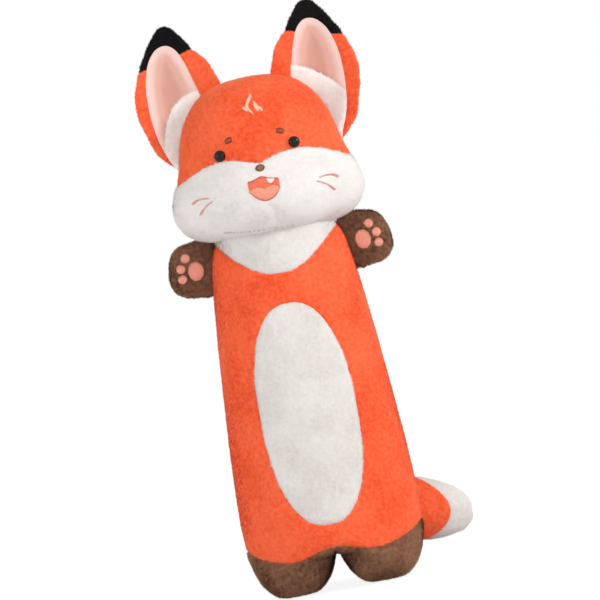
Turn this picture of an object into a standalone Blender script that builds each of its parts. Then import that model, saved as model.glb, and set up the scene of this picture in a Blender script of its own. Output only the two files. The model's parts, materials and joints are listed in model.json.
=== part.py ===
"""A long stuffed fox: sewn plush covers over filling, with moulded eyes, embroidery, and ears, arms, tail and
head that hinge at their seams. Metres, +Z up, face toward -Y, toy's left at +X, soles on Z = 0."""

import math

import bmesh
import bpy
from mathutils import Matrix, Vector
from mathutils.bvhtree import BVHTree

# Cloth, thread and clearances
CLOTH = 0.0030
GAP = 0.0003
THREAD = 0.0010
OVERRUN = 0.0500
SOLE_CUT = 0.0005
SLOT = 0.0008
WELD = 0.00002
SHARP_ANGLE = math.radians(40)

# Body, from the soles to the neck seam
BODY_HEIGHT = 0.442
BODY_WIDTH = 0.218
BODY_DEPTH = 0.152
CROTCH_HEIGHT = 0.041
CROTCH_SEAM = 0.005
FEET_APART = 0.004
FOOT_TUCK = 0.006
FOOT_WIDTH = (BODY_WIDTH - FEET_APART) / 2 - FOOT_TUCK
FOOT_DEPTH = 0.144
FOOT_COVER_HEIGHT = 0.052
BELLY_WIDTH = 0.119
BELLY_HEIGHT = 0.271
BELLY_SAG = 0.004
BELLY_LEVEL = BODY_HEIGHT / 2 - BELLY_SAG
BIB_WIDTH = 0.146
BIB_DROP = 0.053

# Neck: a rounded plug on the body that the head turns on
NECK_RADIUS = 0.052
NECK_HALF_WIDTH = 0.075
NECK_DROP = 0.015
NECK_CLEARANCE = 0.0008
NOD_LIMIT = math.radians(8)

# Head
HEAD_HEIGHT = 0.190
HEAD_WIDTH = 0.230
HEAD_DEPTH = 0.180
CHIN_DROP = 0.007

# Eyes: a dome on a stem, held by a washer behind the cloth
EYE_DIAMETER = 0.0140
EYE_HEIGHT = 0.0062
EYE_SINK = 0.0010
EYE_SPACING = 0.090
STEM_DIAMETER = 0.0048
STEM_LENGTH = 0.0130
WASHER_DIAMETER = 0.0180
WASHER_THICKNESS = 0.0022
PINCHED_CLOTH = 0.0015

# Face embroidery
NOSE_WIDTH = 0.0110
NOSE_HEIGHT = 0.0078
MOUTH_WIDTH = 0.0350
MOUTH_HEIGHT = 0.0280
FANG_WIDTH = 0.0078
FANG_HEIGHT = 0.0062
FANG_GAP = 3 * GAP
WHISKER_LENGTH = 0.0225
WHISKER_WIDTH = 0.0026
BROW_LENGTH = 0.0095
BROW_WIDTH = 0.0034
MARK_HEIGHT = 0.0240
MARK_WIDTH = 0.0230
MARK_STROKE = 0.0036

# Ears
EAR_HEIGHT = 0.180
EAR_WIDTH = 0.103
EAR_THICKNESS = 0.0120
EAR_CUP = 0.0170
EAR_SPREAD = 0.0870
LINING_DEPTH = 0.0030
EAR_FOLD_LIMIT = math.radians(20)

# Arms
ARM_LENGTH = 0.050
ARM_HEIGHT = 0.064
ARM_DEPTH = 0.042
ARM_DROP = 0.038
ARM_LEVEL = BODY_HEIGHT - ARM_DROP
ARM_SWING_LIMIT = math.radians(30)
PALM_WIDTH = 0.0185
PALM_HEIGHT = 0.0230
TOE_DIAMETER = 0.0105

# Tail
TAIL_LENGTH = 0.186
TAIL_HEIGHT = 0.080
TAIL_DEPTH = 0.066
TAIL_LEVEL = 0.098
TAIL_DROP = 0.041
TAIL_HEADING = math.radians(28)
TAIL_IN_LIMIT = math.radians(-6)
TAIL_OUT_LIMIT = math.radians(60)

# Sections of the forms, as shares of their sizes, from one end to the other
# Trunk: height, half width, half depth
TRUNK_SHARES = (
    (1.010, 0.46, 0.34),
    (0.994, 0.66, 0.48),
    (0.955, 0.775, 0.68),
    (0.880, 0.795, 0.91),
    (0.740, 0.865, 0.96),
    (0.560, 0.925, 0.99),
    (0.370, 0.985, 1.00),
    (0.210, 1.015, 1.00),
    (0.135, 0.995, 0.98),
)
CROTCH_SHARES = (0.975, 0.95)
# Feet: height from the cut to the crotch, half width, half depth
FOOT_SHARES = ((0.50, 1.02, 1.00), (0.0, 0.84, 0.86), (0.0, 0.42, 0.46))
# Head: height, half width, half depth, forward share of the depth
HEAD_SHARES = (
    (0.00, 0.52, 0.50, 0.00),
    (0.035, 0.84, 0.80, 0.01),
    (0.125, 0.985, 0.96, 0.03),
    (0.250, 1.045, 1.03, 0.05),
    (0.375, 0.955, 0.98, 0.03),
    (0.480, 0.870, 0.92, 0.00),
    (0.640, 0.835, 0.90, 0.00),
    (0.800, 0.735, 0.81, 0.00),
    (0.930, 0.560, 0.62, 0.00),
    (1.010, 0.300, 0.33, 0.00),
)
# Ear: height, half width, half thickness, cup
EAR_SHARES = (
    (0.000, 0.42, 0.80, 0.40),
    (0.160, 0.74, 0.95, 0.70),
    (0.360, 0.97, 1.00, 1.00),
    (0.545, 1.02, 1.00, 1.00),
    (0.700, 0.84, 0.95, 0.85),
    (0.835, 0.58, 0.85, 0.55),
    (0.940, 0.32, 0.70, 0.25),
    (1.005, 0.12, 0.50, 0.10),
)
# Arm: reach, half height, half depth
ARM_SHARES = (
    (-0.20, 0.66, 0.22),
    (0.02, 0.82, 0.24),
    (0.24, 1.02, 0.62),
    (0.52, 1.08, 1.04),
    (0.82, 0.92, 0.96),
    (1.01, 0.52, 0.56),
)
# Tail: length, half height, half depth
TAIL_SHARES = (
    (-0.06, 0.30, 0.16),
    (0.03, 0.40, 0.20),
    (0.20, 0.66, 0.50),
    (0.42, 0.98, 0.96),
    (0.62, 1.06, 1.06),
    (0.80, 0.90, 0.92),
    (0.94, 0.66, 0.68),
    (1.01, 0.34, 0.35),
)
TAIL_WHITE_SHARE = 0.74

# Outlines and places, as shares of the sizes that they follow
BIB_SIDE_SHARES = ((1.06, 0.92), (1.00, 0.80), (0.86, 0.62), (0.70, 0.42), (0.46, 0.18), (0.20, 0.02))
FOOT_LINE_SHARES = (
    (1.10, 1.22),
    (1.0, 1.18),
    (0.90, 1.02),
    (0.74, 0.88),
    (0.50, 0.80),
    (0.30, 0.84),
    (0.12, 0.97),
)
MUZZLE_LINE_SHARES = (
    (0.0, 0.455),
    (0.11, 0.480),
    (0.24, 0.499),
    (0.38, 0.509),
    (0.52, 0.501),
    (0.67, 0.473),
    (0.80, 0.443),
    (0.90, 0.412),
    (1.20, 0.380),
)
EYE_LEVEL_SHARE = 0.545
NOSE_LEVEL_SHARE = 0.424
MOUTH_LEVEL_SHARE = 0.296
MOUTH_SHARES = (
    (-0.50, 0.33),
    (-0.27, 0.44),
    (0.00, 0.50),
    (0.22, 0.42),
    (0.50, 0.34),
    (0.53, 0.02),
    (0.36, -0.34),
    (0.02, -0.50),
    (-0.34, -0.38),
    (-0.52, -0.02),
)
TONGUE_SHARES = (
    (-0.70, 0.00),
    (-0.42, 0.07),
    (-0.20, 0.12),
    (0.02, 0.02),
    (0.24, 0.09),
    (0.50, 0.04),
    (0.70, 0.00),
)
FANG_PLACE_SHARES = (0.26, 0.245)
FANG_SHARES = ((-0.50, 0.50), (0.50, 0.38), (0.26, -0.30), (0.0, -0.50), (-0.36, -0.12))
WHISKER_PLACE_SHARES = ((0.575, 0.303), (0.545, 0.276))
WHISKER_SHARES = (
    ((0.0, 0.0), (0.45, 0.05), (0.80, 0.0), (0.98, -0.15)),
    ((0.0, 0.0), (0.30, -0.13), (0.58, -0.33), (0.80, -0.58)),
)
BROW_PLACE_SHARES = (0.270, 0.630)
BROW_SHARES = ((-0.50, -0.16), (0.0, 0.16), (0.50, 0.06))
MARK_LEVEL_SHARE = 0.830
MARK_SHARES = (
    ((0.12, 0.50), (-0.22, 0.16), (-0.12, -0.10), (0.10, -0.40)),
    ((-0.50, 0.06), (-0.36, -0.12), (-0.24, -0.30)),
    ((0.14, 0.18), (0.28, -0.10), (0.50, -0.24)),
)
STROKE_END_SHARES = (0.40, 0.45)
EAR_BASE_SHARES = (0.475, 0.958)
CURL_MIDDLE_SHARE = 1 / 3
EAR_LOW_SHARE = 0.475
LINING_SHARES = (
    (0.40, -0.16),
    (0.63, 0.20),
    (0.73, 0.38),
    (0.74, 0.55),
    (0.66, 0.68),
    (0.50, 0.81),
    (0.24, 0.885),
    (-0.02, 0.89),
    (-0.26, 0.82),
    (-0.40, 0.72),
    (-0.50, 0.60),
    (-0.58, 0.46),
    (-0.62, 0.20),
    (-0.40, -0.16),
)
TIP_LINE_SHARES = (0.845, 0.700)
PALM_PLACE_SHARES = (0.34, 0.00)
TOE_PLACE_SHARES = ((0.60, 0.235), (0.70, 0.035), (0.66, -0.155))
ARM_SEAM_SHARE = 0.40

# Cage and facet counts
RING_POINTS = 12
LIMB_POINTS = 8
CROTCH_POINTS = 3
NECK_TURNS = 28
HIDDEN_NECK_TURNS = 16
NECK_BANDS = 8
OVAL_POINTS = 20
SMALL_OVAL_POINTS = 10
EYE_TURNS = 16
DOME_BANDS = 5
CLEARING_STEPS = 4
SEAM_STEPS = 12

LEFT, RIGHT = 1, -1
SIDES = ((LEFT, "left"), (RIGHT, "right"))
ALONG_Y = Vector((0, 1, 0))

COLOURS = {
    "orange plush": ((0.95, 0.13, 0.035), 0.95),
    "white plush": ((0.86, 0.83, 0.81), 0.95),
    "brown plush": ((0.16, 0.075, 0.042), 0.95),
    "black plush": ((0.010, 0.009, 0.009), 0.92),
    "ear lining": ((0.83, 0.60, 0.53), 0.70),
    "pad plush": ((0.82, 0.35, 0.25), 0.85),
    "filling": ((0.80, 0.80, 0.78), 1.00),
    "black plastic": ((0.006, 0.005, 0.005), 0.12),
    "washer plastic": ((0.70, 0.70, 0.68), 0.45),
    "brown thread": ((0.24, 0.12, 0.065), 0.55),
    "coral thread": ((0.80, 0.16, 0.095), 0.55),
    "pink thread": ((0.88, 0.30, 0.22), 0.55),
    "white thread": ((0.86, 0.83, 0.80), 0.55),
    "rose thread": ((0.68, 0.29, 0.23), 0.55),
    "dark thread": ((0.10, 0.035, 0.022), 0.55),
    "peach thread": ((0.95, 0.48, 0.33), 0.55),
}


def cleared_scene():
    """Empties the scene and returns the collections for the parts and for the cutters."""
    for old in list(bpy.data.objects):
        bpy.data.objects.remove(old)
    made = []
    for name in ("plush_fox", "cutters"):
        collection = bpy.data.collections.new(name)
        bpy.context.scene.collection.children.link(collection)
        made.append(collection)
    return made


PARTS, CUTTERS = cleared_scene()
MATERIALS = {}


def finish_of(name):
    """The material of that name, made once."""
    if name not in MATERIALS:
        colour, roughness = COLOURS[name]
        material = bpy.data.materials.new(name)
        material.use_nodes = True
        shader = material.node_tree.nodes["Principled BSDF"]
        shader.inputs["Base Color"].default_value = (*colour, 1)
        shader.inputs["Roughness"].default_value = roughness
        shader.inputs["Metallic"].default_value = 0
        MATERIALS[name] = material
    return MATERIALS[name]


# Objects and modifiers


def cutter(name, mesh):
    """A hidden solid that other solids are cut or made from."""
    made = bpy.data.objects.new(name, mesh)
    made.hide_render = True
    made.display_type = "WIRE"
    CUTTERS.objects.link(made)
    return made


def combined(target, tool, operation):
    """Adds a Boolean with another solid."""
    step = target.modifiers.new(operation.lower(), "BOOLEAN")
    step.operation = operation
    step.solver = "EXACT"
    step.object = tool
    return target


def settled(target):
    """The object with its modifiers worked out into its mesh."""
    depsgraph = bpy.context.evaluated_depsgraph_get()
    mesh = bpy.data.meshes.new_from_object(target.evaluated_get(depsgraph))
    target.modifiers.clear()
    target.data = mesh
    return target


def welded(target):
    """The object with corners that a cut left closer than the weld merged, and slivers dissolved."""
    shape = bmesh.new()
    shape.from_mesh(target.data)
    bmesh.ops.remove_doubles(shape, verts=shape.verts, dist=WELD)
    bmesh.ops.dissolve_degenerate(shape, edges=shape.edges, dist=WELD)
    shape.to_mesh(target.data)
    shape.free()
    return target


def difference(name, outer, inner):
    """A new cutter: one solid less another."""
    made = cutter(name, outer.data.copy())
    return settled(combined(made, inner, "DIFFERENCE"))


def piece(name, source, finish, kept=(), cut=()):
    """A part made from a source solid: what lies in every kept solid, less the cut ones."""
    made = bpy.data.objects.new(name, source.data.copy())
    PARTS.objects.link(made)
    for tool in kept:
        combined(made, tool, "INTERSECT")
    for tool in cut:
        combined(made, tool, "DIFFERENCE")
    welded(settled(made))
    made.data.materials.clear()
    made.data.materials.append(finish_of(finish))
    made.data.shade_smooth()
    made.data.set_sharp_from_angle(angle=SHARP_ANGLE)
    return made


def mesh_from(cage, name):
    """Closes a bmesh into a mesh whose faces point outward."""
    bmesh.ops.recalc_face_normals(cage, faces=cage.faces)
    mesh = bpy.data.meshes.new(name)
    cage.to_mesh(mesh)
    cage.free()
    return mesh


# Soft forms


def walked(cage, face, tags, sections, place):
    """Extrudes a face through the sections. Each corner's tag says where it stands on a section."""
    for section in sections:
        face = bmesh.ops.extrude_discrete_faces(cage, faces=[face])["faces"][0]
        for corner, tag in zip(face.verts, tags):
            corner.co = place(section, tag)
    return face


def started(count, section, place):
    """A new cage with its first ring: (cage, face, the corners' angles)."""
    cage = bmesh.new()
    bmesh.ops.create_circle(cage, cap_ends=True, segments=count, radius=OVERRUN)
    face = cage.faces[:][0]
    tags = [math.tau * k / count for k in range(count)]
    for corner, tag in zip(face.verts, tags):
        corner.co = place(section, tag)
    return cage, face, tags


def ended(cage, name):
    """The cage's mesh with its first ring filled."""
    rim = [edge for edge in cage.edges if edge.is_boundary]
    bmesh.ops.holes_fill(cage, edges=rim, sides=0)
    return mesh_from(cage, name)


def rounding(count):
    """How much larger a cage's ring is than the smooth ring that it makes."""
    return 3 / (2 + math.cos(math.tau / count))


def smoothed(name, mesh, swell, plain=False):
    """A cutter: the cage's smooth form, grown by swell all round. A plain one has only the cage's corners."""
    made = cutter(name, mesh.copy())
    soft = made.modifiers.new("soften", "SUBSURF")
    soft.levels = 1
    soft.render_levels = 1
    if plain:
        fine = settled(made).data
        made.data = mesh.copy()
        for corner in made.data.vertices:
            corner.co = fine.vertices[corner.index].co
    split = made.modifiers.new("split", "TRIANGULATE")
    split.quad_method = "FIXED"
    grow = made.modifiers.new("grow", "DISPLACE")
    grow.mid_level = 0
    grow.strength = swell
    return settled(made)


def body_cage(crotch):
    """The trunk's rings from the neck down, then one run of rings for each foot, which part at the crotch."""
    spread = rounding(RING_POINTS)
    low = crotch + SOLE_CUT

    def on_trunk(section, angle):
        height, wide, deep = section
        across = BODY_WIDTH / 2 * wide * spread * math.cos(angle)
        return Vector((across, BODY_DEPTH / 2 * deep * spread * math.sin(angle), BODY_HEIGHT * height))

    last = (crotch / BODY_HEIGHT, *CROTCH_SHARES)
    cage, face, tags = started(RING_POINTS, TRUNK_SHARES[0], on_trunk)
    face = walked(cage, face, tags, (*TRUNK_SHARES[1:], last), on_trunk)
    corners = dict(zip(face.verts, tags))
    back, front = face.verts[RING_POINTS // 4], face.verts[3 * RING_POINTS // 4]
    steps = [(k + 1) / (CROTCH_POINTS + 1) for k in range(CROTCH_POINTS)]
    chain = [back.co.lerp(front.co, step) for step in steps]
    halves = (face, bmesh.utils.face_split(face, back, front, coords=chain)[0])
    for half in halves:
        side = LEFT if sum(corner.co.x for corner in half.verts) > 0 else RIGHT

        def on_foot(section, tag, side=side):
            height, wide, deep = section
            middle = FEET_APART / 2 + FOOT_WIDTH / 2
            across = middle + FOOT_WIDTH / 2 * wide * spread * tag[0]
            along = FOOT_DEPTH / 2 * deep * spread * tag[1]
            return Vector((side * across, along, height * low - SOLE_CUT))

        tags = [foot_tag(corner, corners, front, back) for corner in half.verts]
        walked(cage, half, tags, FOOT_SHARES, on_foot)
    return ended(cage, "body_cage")


def foot_tag(corner, corners, front, back):
    """Where a corner of the crotch ring goes round a foot: (outward, backward)."""
    if corner in corners:
        angle = corners[corner]
        return abs(math.cos(angle)), math.sin(angle)
    share = (corner.co.y - front.co.y) / (back.co.y - front.co.y)
    angle = math.pi * (share - 1 / 2)
    return -math.cos(angle), math.sin(angle)


def head_cage():
    """The head's rings from the chin up."""
    spread = rounding(RING_POINTS)
    base = BODY_HEIGHT - CHIN_DROP

    def on_head(section, angle):
        height, wide, deep, forward = section
        across = HEAD_WIDTH / 2 * wide * spread * math.cos(angle)
        along = HEAD_DEPTH / 2 * (deep * spread * math.sin(angle) - forward)
        return Vector((across, along, base + HEAD_HEIGHT * height))

    cage, face, tags = started(RING_POINTS, HEAD_SHARES[0], on_head)
    walked(cage, face, tags, HEAD_SHARES[1:], on_head)
    return ended(cage, "head_cage")


def head_level(share):
    """A height on the head."""
    return BODY_HEIGHT - CHIN_DROP + HEAD_HEIGHT * share


def neck_ball(name, swell, turns):
    """The plug's form, turned about the nodding axis."""
    ball = bmesh.new()
    bmesh.ops.create_uvsphere(ball, u_segments=turns, v_segments=NECK_BANDS, radius=1)
    turn = Matrix.Rotation(math.pi / 2, 4, "Y")
    size = Matrix.Diagonal((NECK_HALF_WIDTH + swell, NECK_RADIUS + swell, NECK_RADIUS + swell, 1))
    place = Matrix.Translation((0, 0, BODY_HEIGHT - NECK_DROP))
    bmesh.ops.transform(ball, matrix=place @ size @ turn, verts=ball.verts)
    return cutter(name, mesh_from(ball, name))


# Outlines pushed through from front to back


def prism(name, outline, front, back, smooth=False):
    """A cutter: a closed outline in X and Z, from one depth to another along Y."""
    curve = bpy.data.curves.new(name, "CURVE")
    curve.dimensions = "2D"
    curve.fill_mode = "BOTH"
    curve.extrude = (back - front) / 2
    curve.resolution_u = 2
    if smooth:
        line = curve.splines.new("BEZIER")
        line.bezier_points.add(len(outline) - 1)
        for point, (across, height) in zip(line.bezier_points, outline):
            point.co = (across, height, 0)
            point.handle_left_type = point.handle_right_type = "AUTO"
    else:
        line = curve.splines.new("POLY")
        line.points.add(len(outline) - 1)
        for point, (across, height) in zip(line.points, outline):
            point.co = (across, height, 0, 1)
    line.use_cyclic_u = True
    holder = cutter(name + "_outline", curve)
    upright = Matrix.Rotation(math.pi / 2, 4, "X")
    holder.matrix_world = Matrix.Translation((0, (front + back) / 2, 0)) @ upright
    depsgraph = bpy.context.evaluated_depsgraph_get()
    mesh = bpy.data.meshes.new_from_object(holder.evaluated_get(depsgraph))
    mesh.transform(holder.matrix_world)
    bpy.data.objects.remove(holder)
    shape = bmesh.new()
    shape.from_mesh(mesh)
    bmesh.ops.remove_doubles(shape, verts=shape.verts, dist=WELD)
    return cutter(name, mesh_from(shape, name))


def box(name, low, high):
    """A cutter: a box from one corner to the other."""
    cube = bmesh.new()
    bmesh.ops.create_cube(cube, size=1)
    low, high = Vector(low), Vector(high)
    place = Matrix.Translation((low + high) / 2) @ Matrix.Diagonal((*(high - low), 1))
    bmesh.ops.transform(cube, matrix=place, verts=cube.verts)
    return cutter(name, mesh_from(cube, name))


def oval(wide, high, centre, count=OVAL_POINTS):
    """The points of an oval outline."""
    turns = [math.tau * k / count for k in range(count)]
    return [(centre[0] + wide / 2 * math.cos(a), centre[1] + high / 2 * math.sin(a)) for a in turns]


def stroke(points, width):
    """The outline of a stitched stroke that narrows to both ends."""
    sides = ([], [])
    shares = [STROKE_END_SHARES[0], *[1] * (len(points) - 2), STROKE_END_SHARES[1]]
    for k, ((across, height), share) in enumerate(zip(points, shares)):
        after, before = points[min(k + 1, len(points) - 1)], points[max(k - 1, 0)]
        run = Vector((after[0] - before[0], after[1] - before[1])).normalized()
        sides[0].append((across - run.y * width / 2 * share, height + run.x * width / 2 * share))
        sides[1].append((across + run.y * width / 2 * share, height - run.x * width / 2 * share))
    return sides[0] + sides[1][::-1]


# Places on the forms


def met(form, start, way):
    """Where a straight line first meets a form: (point, normal)."""
    depsgraph = bpy.context.evaluated_depsgraph_get()
    tree = BVHTree.FromObject(form, depsgraph)
    point, normal, _, _ = tree.ray_cast(Vector(start), Vector(way))
    return point, normal


def side_point(form, side, height):
    """The form's outermost point at a height, on one side."""
    return met(form, (side * (HEAD_WIDTH + BODY_WIDTH), 0, height), (-side, 0, 0))[0]


def seam_line(form, side, bottom, top, clear):
    """The straight line beside a form's roundest spot between two heights: (point, axis, outward)."""
    low, high = side_point(form, side, bottom), side_point(form, side, top)
    axis = (high - low).normalized()
    outward = axis.cross(ALONG_Y)
    outward = outward if outward.x * side > 0 else -outward
    levels = [bottom + (top - bottom) * k / SEAM_STEPS for k in range(SEAM_STEPS + 1)]
    bulge = max((side_point(form, side, level) - low).dot(outward) for level in levels)
    return (low + high) / 2 + outward * (bulge + clear), axis, outward


def turned_about(point, axis, angle):
    """The turn of a hinge."""
    there = Matrix.Translation(point)
    return there @ Matrix.Rotation(angle, 4, axis) @ there.inverted()


def swept(name, form, point, axis, low, high):
    """What a hinged piece must clear: its neighbour as the piece meets it through its range, as one solid."""
    whole = None
    for k in range(CLEARING_STEPS + 1):
        angle = low + (high - low) * k / CLEARING_STEPS
        copy = cutter(f"{name}_{k}", form.data.copy())
        copy.data.transform(turned_about(point, axis, -angle))
        whole = copy if whole is None else welded(settled(combined(whole, copy, "UNION")))
    return whole


def behind_seam(name, point, axis, outward, low, high):
    """What a limb on a seam must clear: what lies behind the seam's plane, at both limits of its swing."""
    frame = Matrix((outward, axis.cross(outward), axis)).transposed().to_4x4()
    frame.translation = point
    made = []
    for angle, word in ((low, "in"), (high, "out")):
        half = box(f"{name}_{word}", (-HEAD_WIDTH, -HEAD_WIDTH, -HEAD_WIDTH), (0, HEAD_WIDTH, HEAD_WIDTH))
        half.data.transform(turned_about(point, axis, -angle) @ frame)
        made.append(half)
    return made


def hinge(name, point, axis, pieces):
    """An empty on a joint's axis that carries the pieces that turn there."""
    pivot = bpy.data.objects.new(name, None)
    PARTS.objects.link(pivot)
    pivot.matrix_world = Matrix.Translation(point) @ Vector(axis).to_track_quat("Z", "Y").to_matrix().to_4x4()
    bpy.context.view_layer.update()
    for carried in pieces:
        carried.parent = pivot
        carried.matrix_parent_inverse = pivot.matrix_world.inverted()
    return pivot


# Body


def bib_outline(drop):
    """The bib's edge, a rounded V that runs up behind the chin, let down by drop."""
    top = BODY_HEIGHT + NECK_RADIUS
    edge = [(BIB_WIDTH / 2 * x, BODY_HEIGHT - BIB_DROP * (1 - z) - drop) for x, z in BIB_SIDE_SHARES]
    left = [(BIB_WIDTH / 2 + OVERRUN, top), (BIB_WIDTH / 2 + OVERRUN, BODY_HEIGHT), *edge]
    return left + [(-x, z) for x, z in left[::-1]]


def foot_outline(rise):
    """The region of the foot covers, under the wavy line where brown meets orange, raised by rise."""
    half = BODY_WIDTH / 2
    line = [(half * x, FOOT_COVER_HEIGHT * z + rise) for x, z in FOOT_LINE_SHARES]
    right = [(half * FOOT_LINE_SHARES[0][0], -OVERRUN), *line]
    return right + [(-x, z) for x, z in right[::-1]]


def make_body():
    """The body's covers and filling. Returns its plain outer form."""
    outer = smoothed("body_form", body_cage(CROTCH_HEIGHT), 0)
    hidden = body_cage(CROTCH_HEIGHT + CROTCH_SEAM)
    outer = settled(combined(outer, neck_ball("neck_plug", 0, NECK_TURNS), "UNION"))
    inner = smoothed("body_inside", hidden, -CLOTH, plain=True)
    inner = settled(combined(inner, neck_ball("neck_inside", -CLOTH, HIDDEN_NECK_TURNS), "UNION"))
    fill = smoothed("body_fill_form", hidden, -CLOTH - GAP, plain=True)
    fill = settled(combined(fill, neck_ball("neck_fill", -CLOTH - GAP, HIDDEN_NECK_TURNS), "UNION"))
    skin = difference("body_skin", outer, inner)

    far = BODY_WIDTH
    top = BODY_HEIGHT + NECK_RADIUS + OVERRUN
    front = box("front_half", (-far, -far, 0), (far, -GAP / 2, top))
    back = box("back_half", (-far, GAP / 2, 0), (far, far, top))
    middle = (0, BELLY_LEVEL)
    patch = prism("belly_shape", oval(BELLY_WIDTH, BELLY_HEIGHT, middle), -far, 0)
    patch_hole = prism("belly_hole", oval(BELLY_WIDTH + 2 * GAP, BELLY_HEIGHT + 2 * GAP, middle), -far, 0)
    bib = prism("bib_shape", bib_outline(0), -far, 0)
    bib_hole = prism("bib_hole", bib_outline(2 * GAP), -far, 0)
    feet = prism("feet_shape", foot_outline(0), -far, far)
    feet_hole = prism("feet_hole", foot_outline(2 * GAP), -far, far)

    piece("body_front_panel", skin, "orange plush", kept=[front], cut=[patch_hole, bib_hole, feet_hole])
    piece("body_back_panel", skin, "orange plush", kept=[back], cut=[feet_hole])
    piece("belly_patch", skin, "white plush", kept=[front, patch], cut=[bib_hole, feet_hole])
    piece("chest_bib", skin, "white plush", kept=[front, bib])
    for side, word in SIDES:
        ends = sorted((side * GAP / 2, side * far))
        half = box(f"{word}_foot_half", (ends[0], -far, 0), (ends[1], far, BODY_HEIGHT))
        piece(f"{word}_foot_cover", skin, "brown plush", kept=[feet, half])
    piece("body_stuffing", fill, "filling")
    return outer


# Head


def eye_places(form):
    """Each eye's centre on the cloth and the way it looks."""
    level = head_level(EYE_LEVEL_SHARE)
    return [(word, *met(form, (side * EYE_SPACING / 2, -HEAD_WIDTH, level), ALONG_Y)) for side, word in SIDES]


def standing(point, way):
    """The frame of a piece whose own +Z points along way."""
    return Matrix.Translation(point) @ way.to_track_quat("Z", "Y").to_matrix().to_4x4()


def turned(name, profile, frame, ring=False):
    """A cutter: a profile of (radius, height) turned about +Z, then placed."""
    line = bmesh.new()
    points = [line.verts.new((radius, 0, height)) for radius, height in profile]
    pairs = list(zip(points, points[1:]))
    if ring:
        pairs.append((points[-1], points[0]))
    for pair in pairs:
        line.edges.new(pair)
    mesh = bpy.data.meshes.new(name)
    line.to_mesh(mesh)
    line.free()
    made = cutter(name, mesh)
    screw = made.modifiers.new("turn", "SCREW")
    screw.steps = EYE_TURNS
    screw.render_steps = EYE_TURNS
    screw.use_merge_vertices = True
    screw.merge_threshold = WELD
    settled(made)
    made.data.transform(frame)
    return made


def make_eyes(form):
    """Both eyes and their washers. Returns them, and each one's room in the cloth and the filling."""
    radius, stem = EYE_DIAMETER / 2, STEM_DIAMETER / 2
    seat = -EYE_SINK
    cloth_back = seat - GAP - PINCHED_CLOTH
    washer_front = cloth_back - GAP
    end = seat - STEM_LENGTH
    quarter = [math.pi / 2 * k / DOME_BANDS for k in range(DOME_BANDS + 1)]
    dome = [(radius * math.sin(a), seat + EYE_HEIGHT * math.cos(a)) for a in quarter]
    made, rooms = [], []
    for word, point, way in eye_places(form):
        frame = standing(point, way)
        eye = turned(f"{word}_eye_shape", [*dome, (stem, seat), (stem, end), (0, end)], frame)
        hole, rim = stem + GAP, WASHER_DIAMETER / 2
        washer_back = washer_front - WASHER_THICKNESS
        loop = [(hole, washer_front), (rim, washer_front), (rim, washer_back), (hole, washer_back)]
        washer = turned(f"{word}_washer_shape", loop, frame, ring=True)
        steps = (
            (radius + GAP, OVERRUN, seat - GAP),
            (hole, seat - GAP, cloth_back),
            (rim + GAP, cloth_back, washer_back - GAP),
            (hole, washer_back - GAP, end - GAP),
        )
        room = [(wide, height) for wide, *ends in steps for height in ends]
        rooms.append(turned(f"{word}_eye_room", [(0, OVERRUN), *room, (0, end - GAP)], frame))
        made.append(piece(f"{word}_eye", eye, "black plastic"))
        made.append(piece(f"{word}_eye_washer", washer, "washer plastic"))
    return made, rooms


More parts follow.
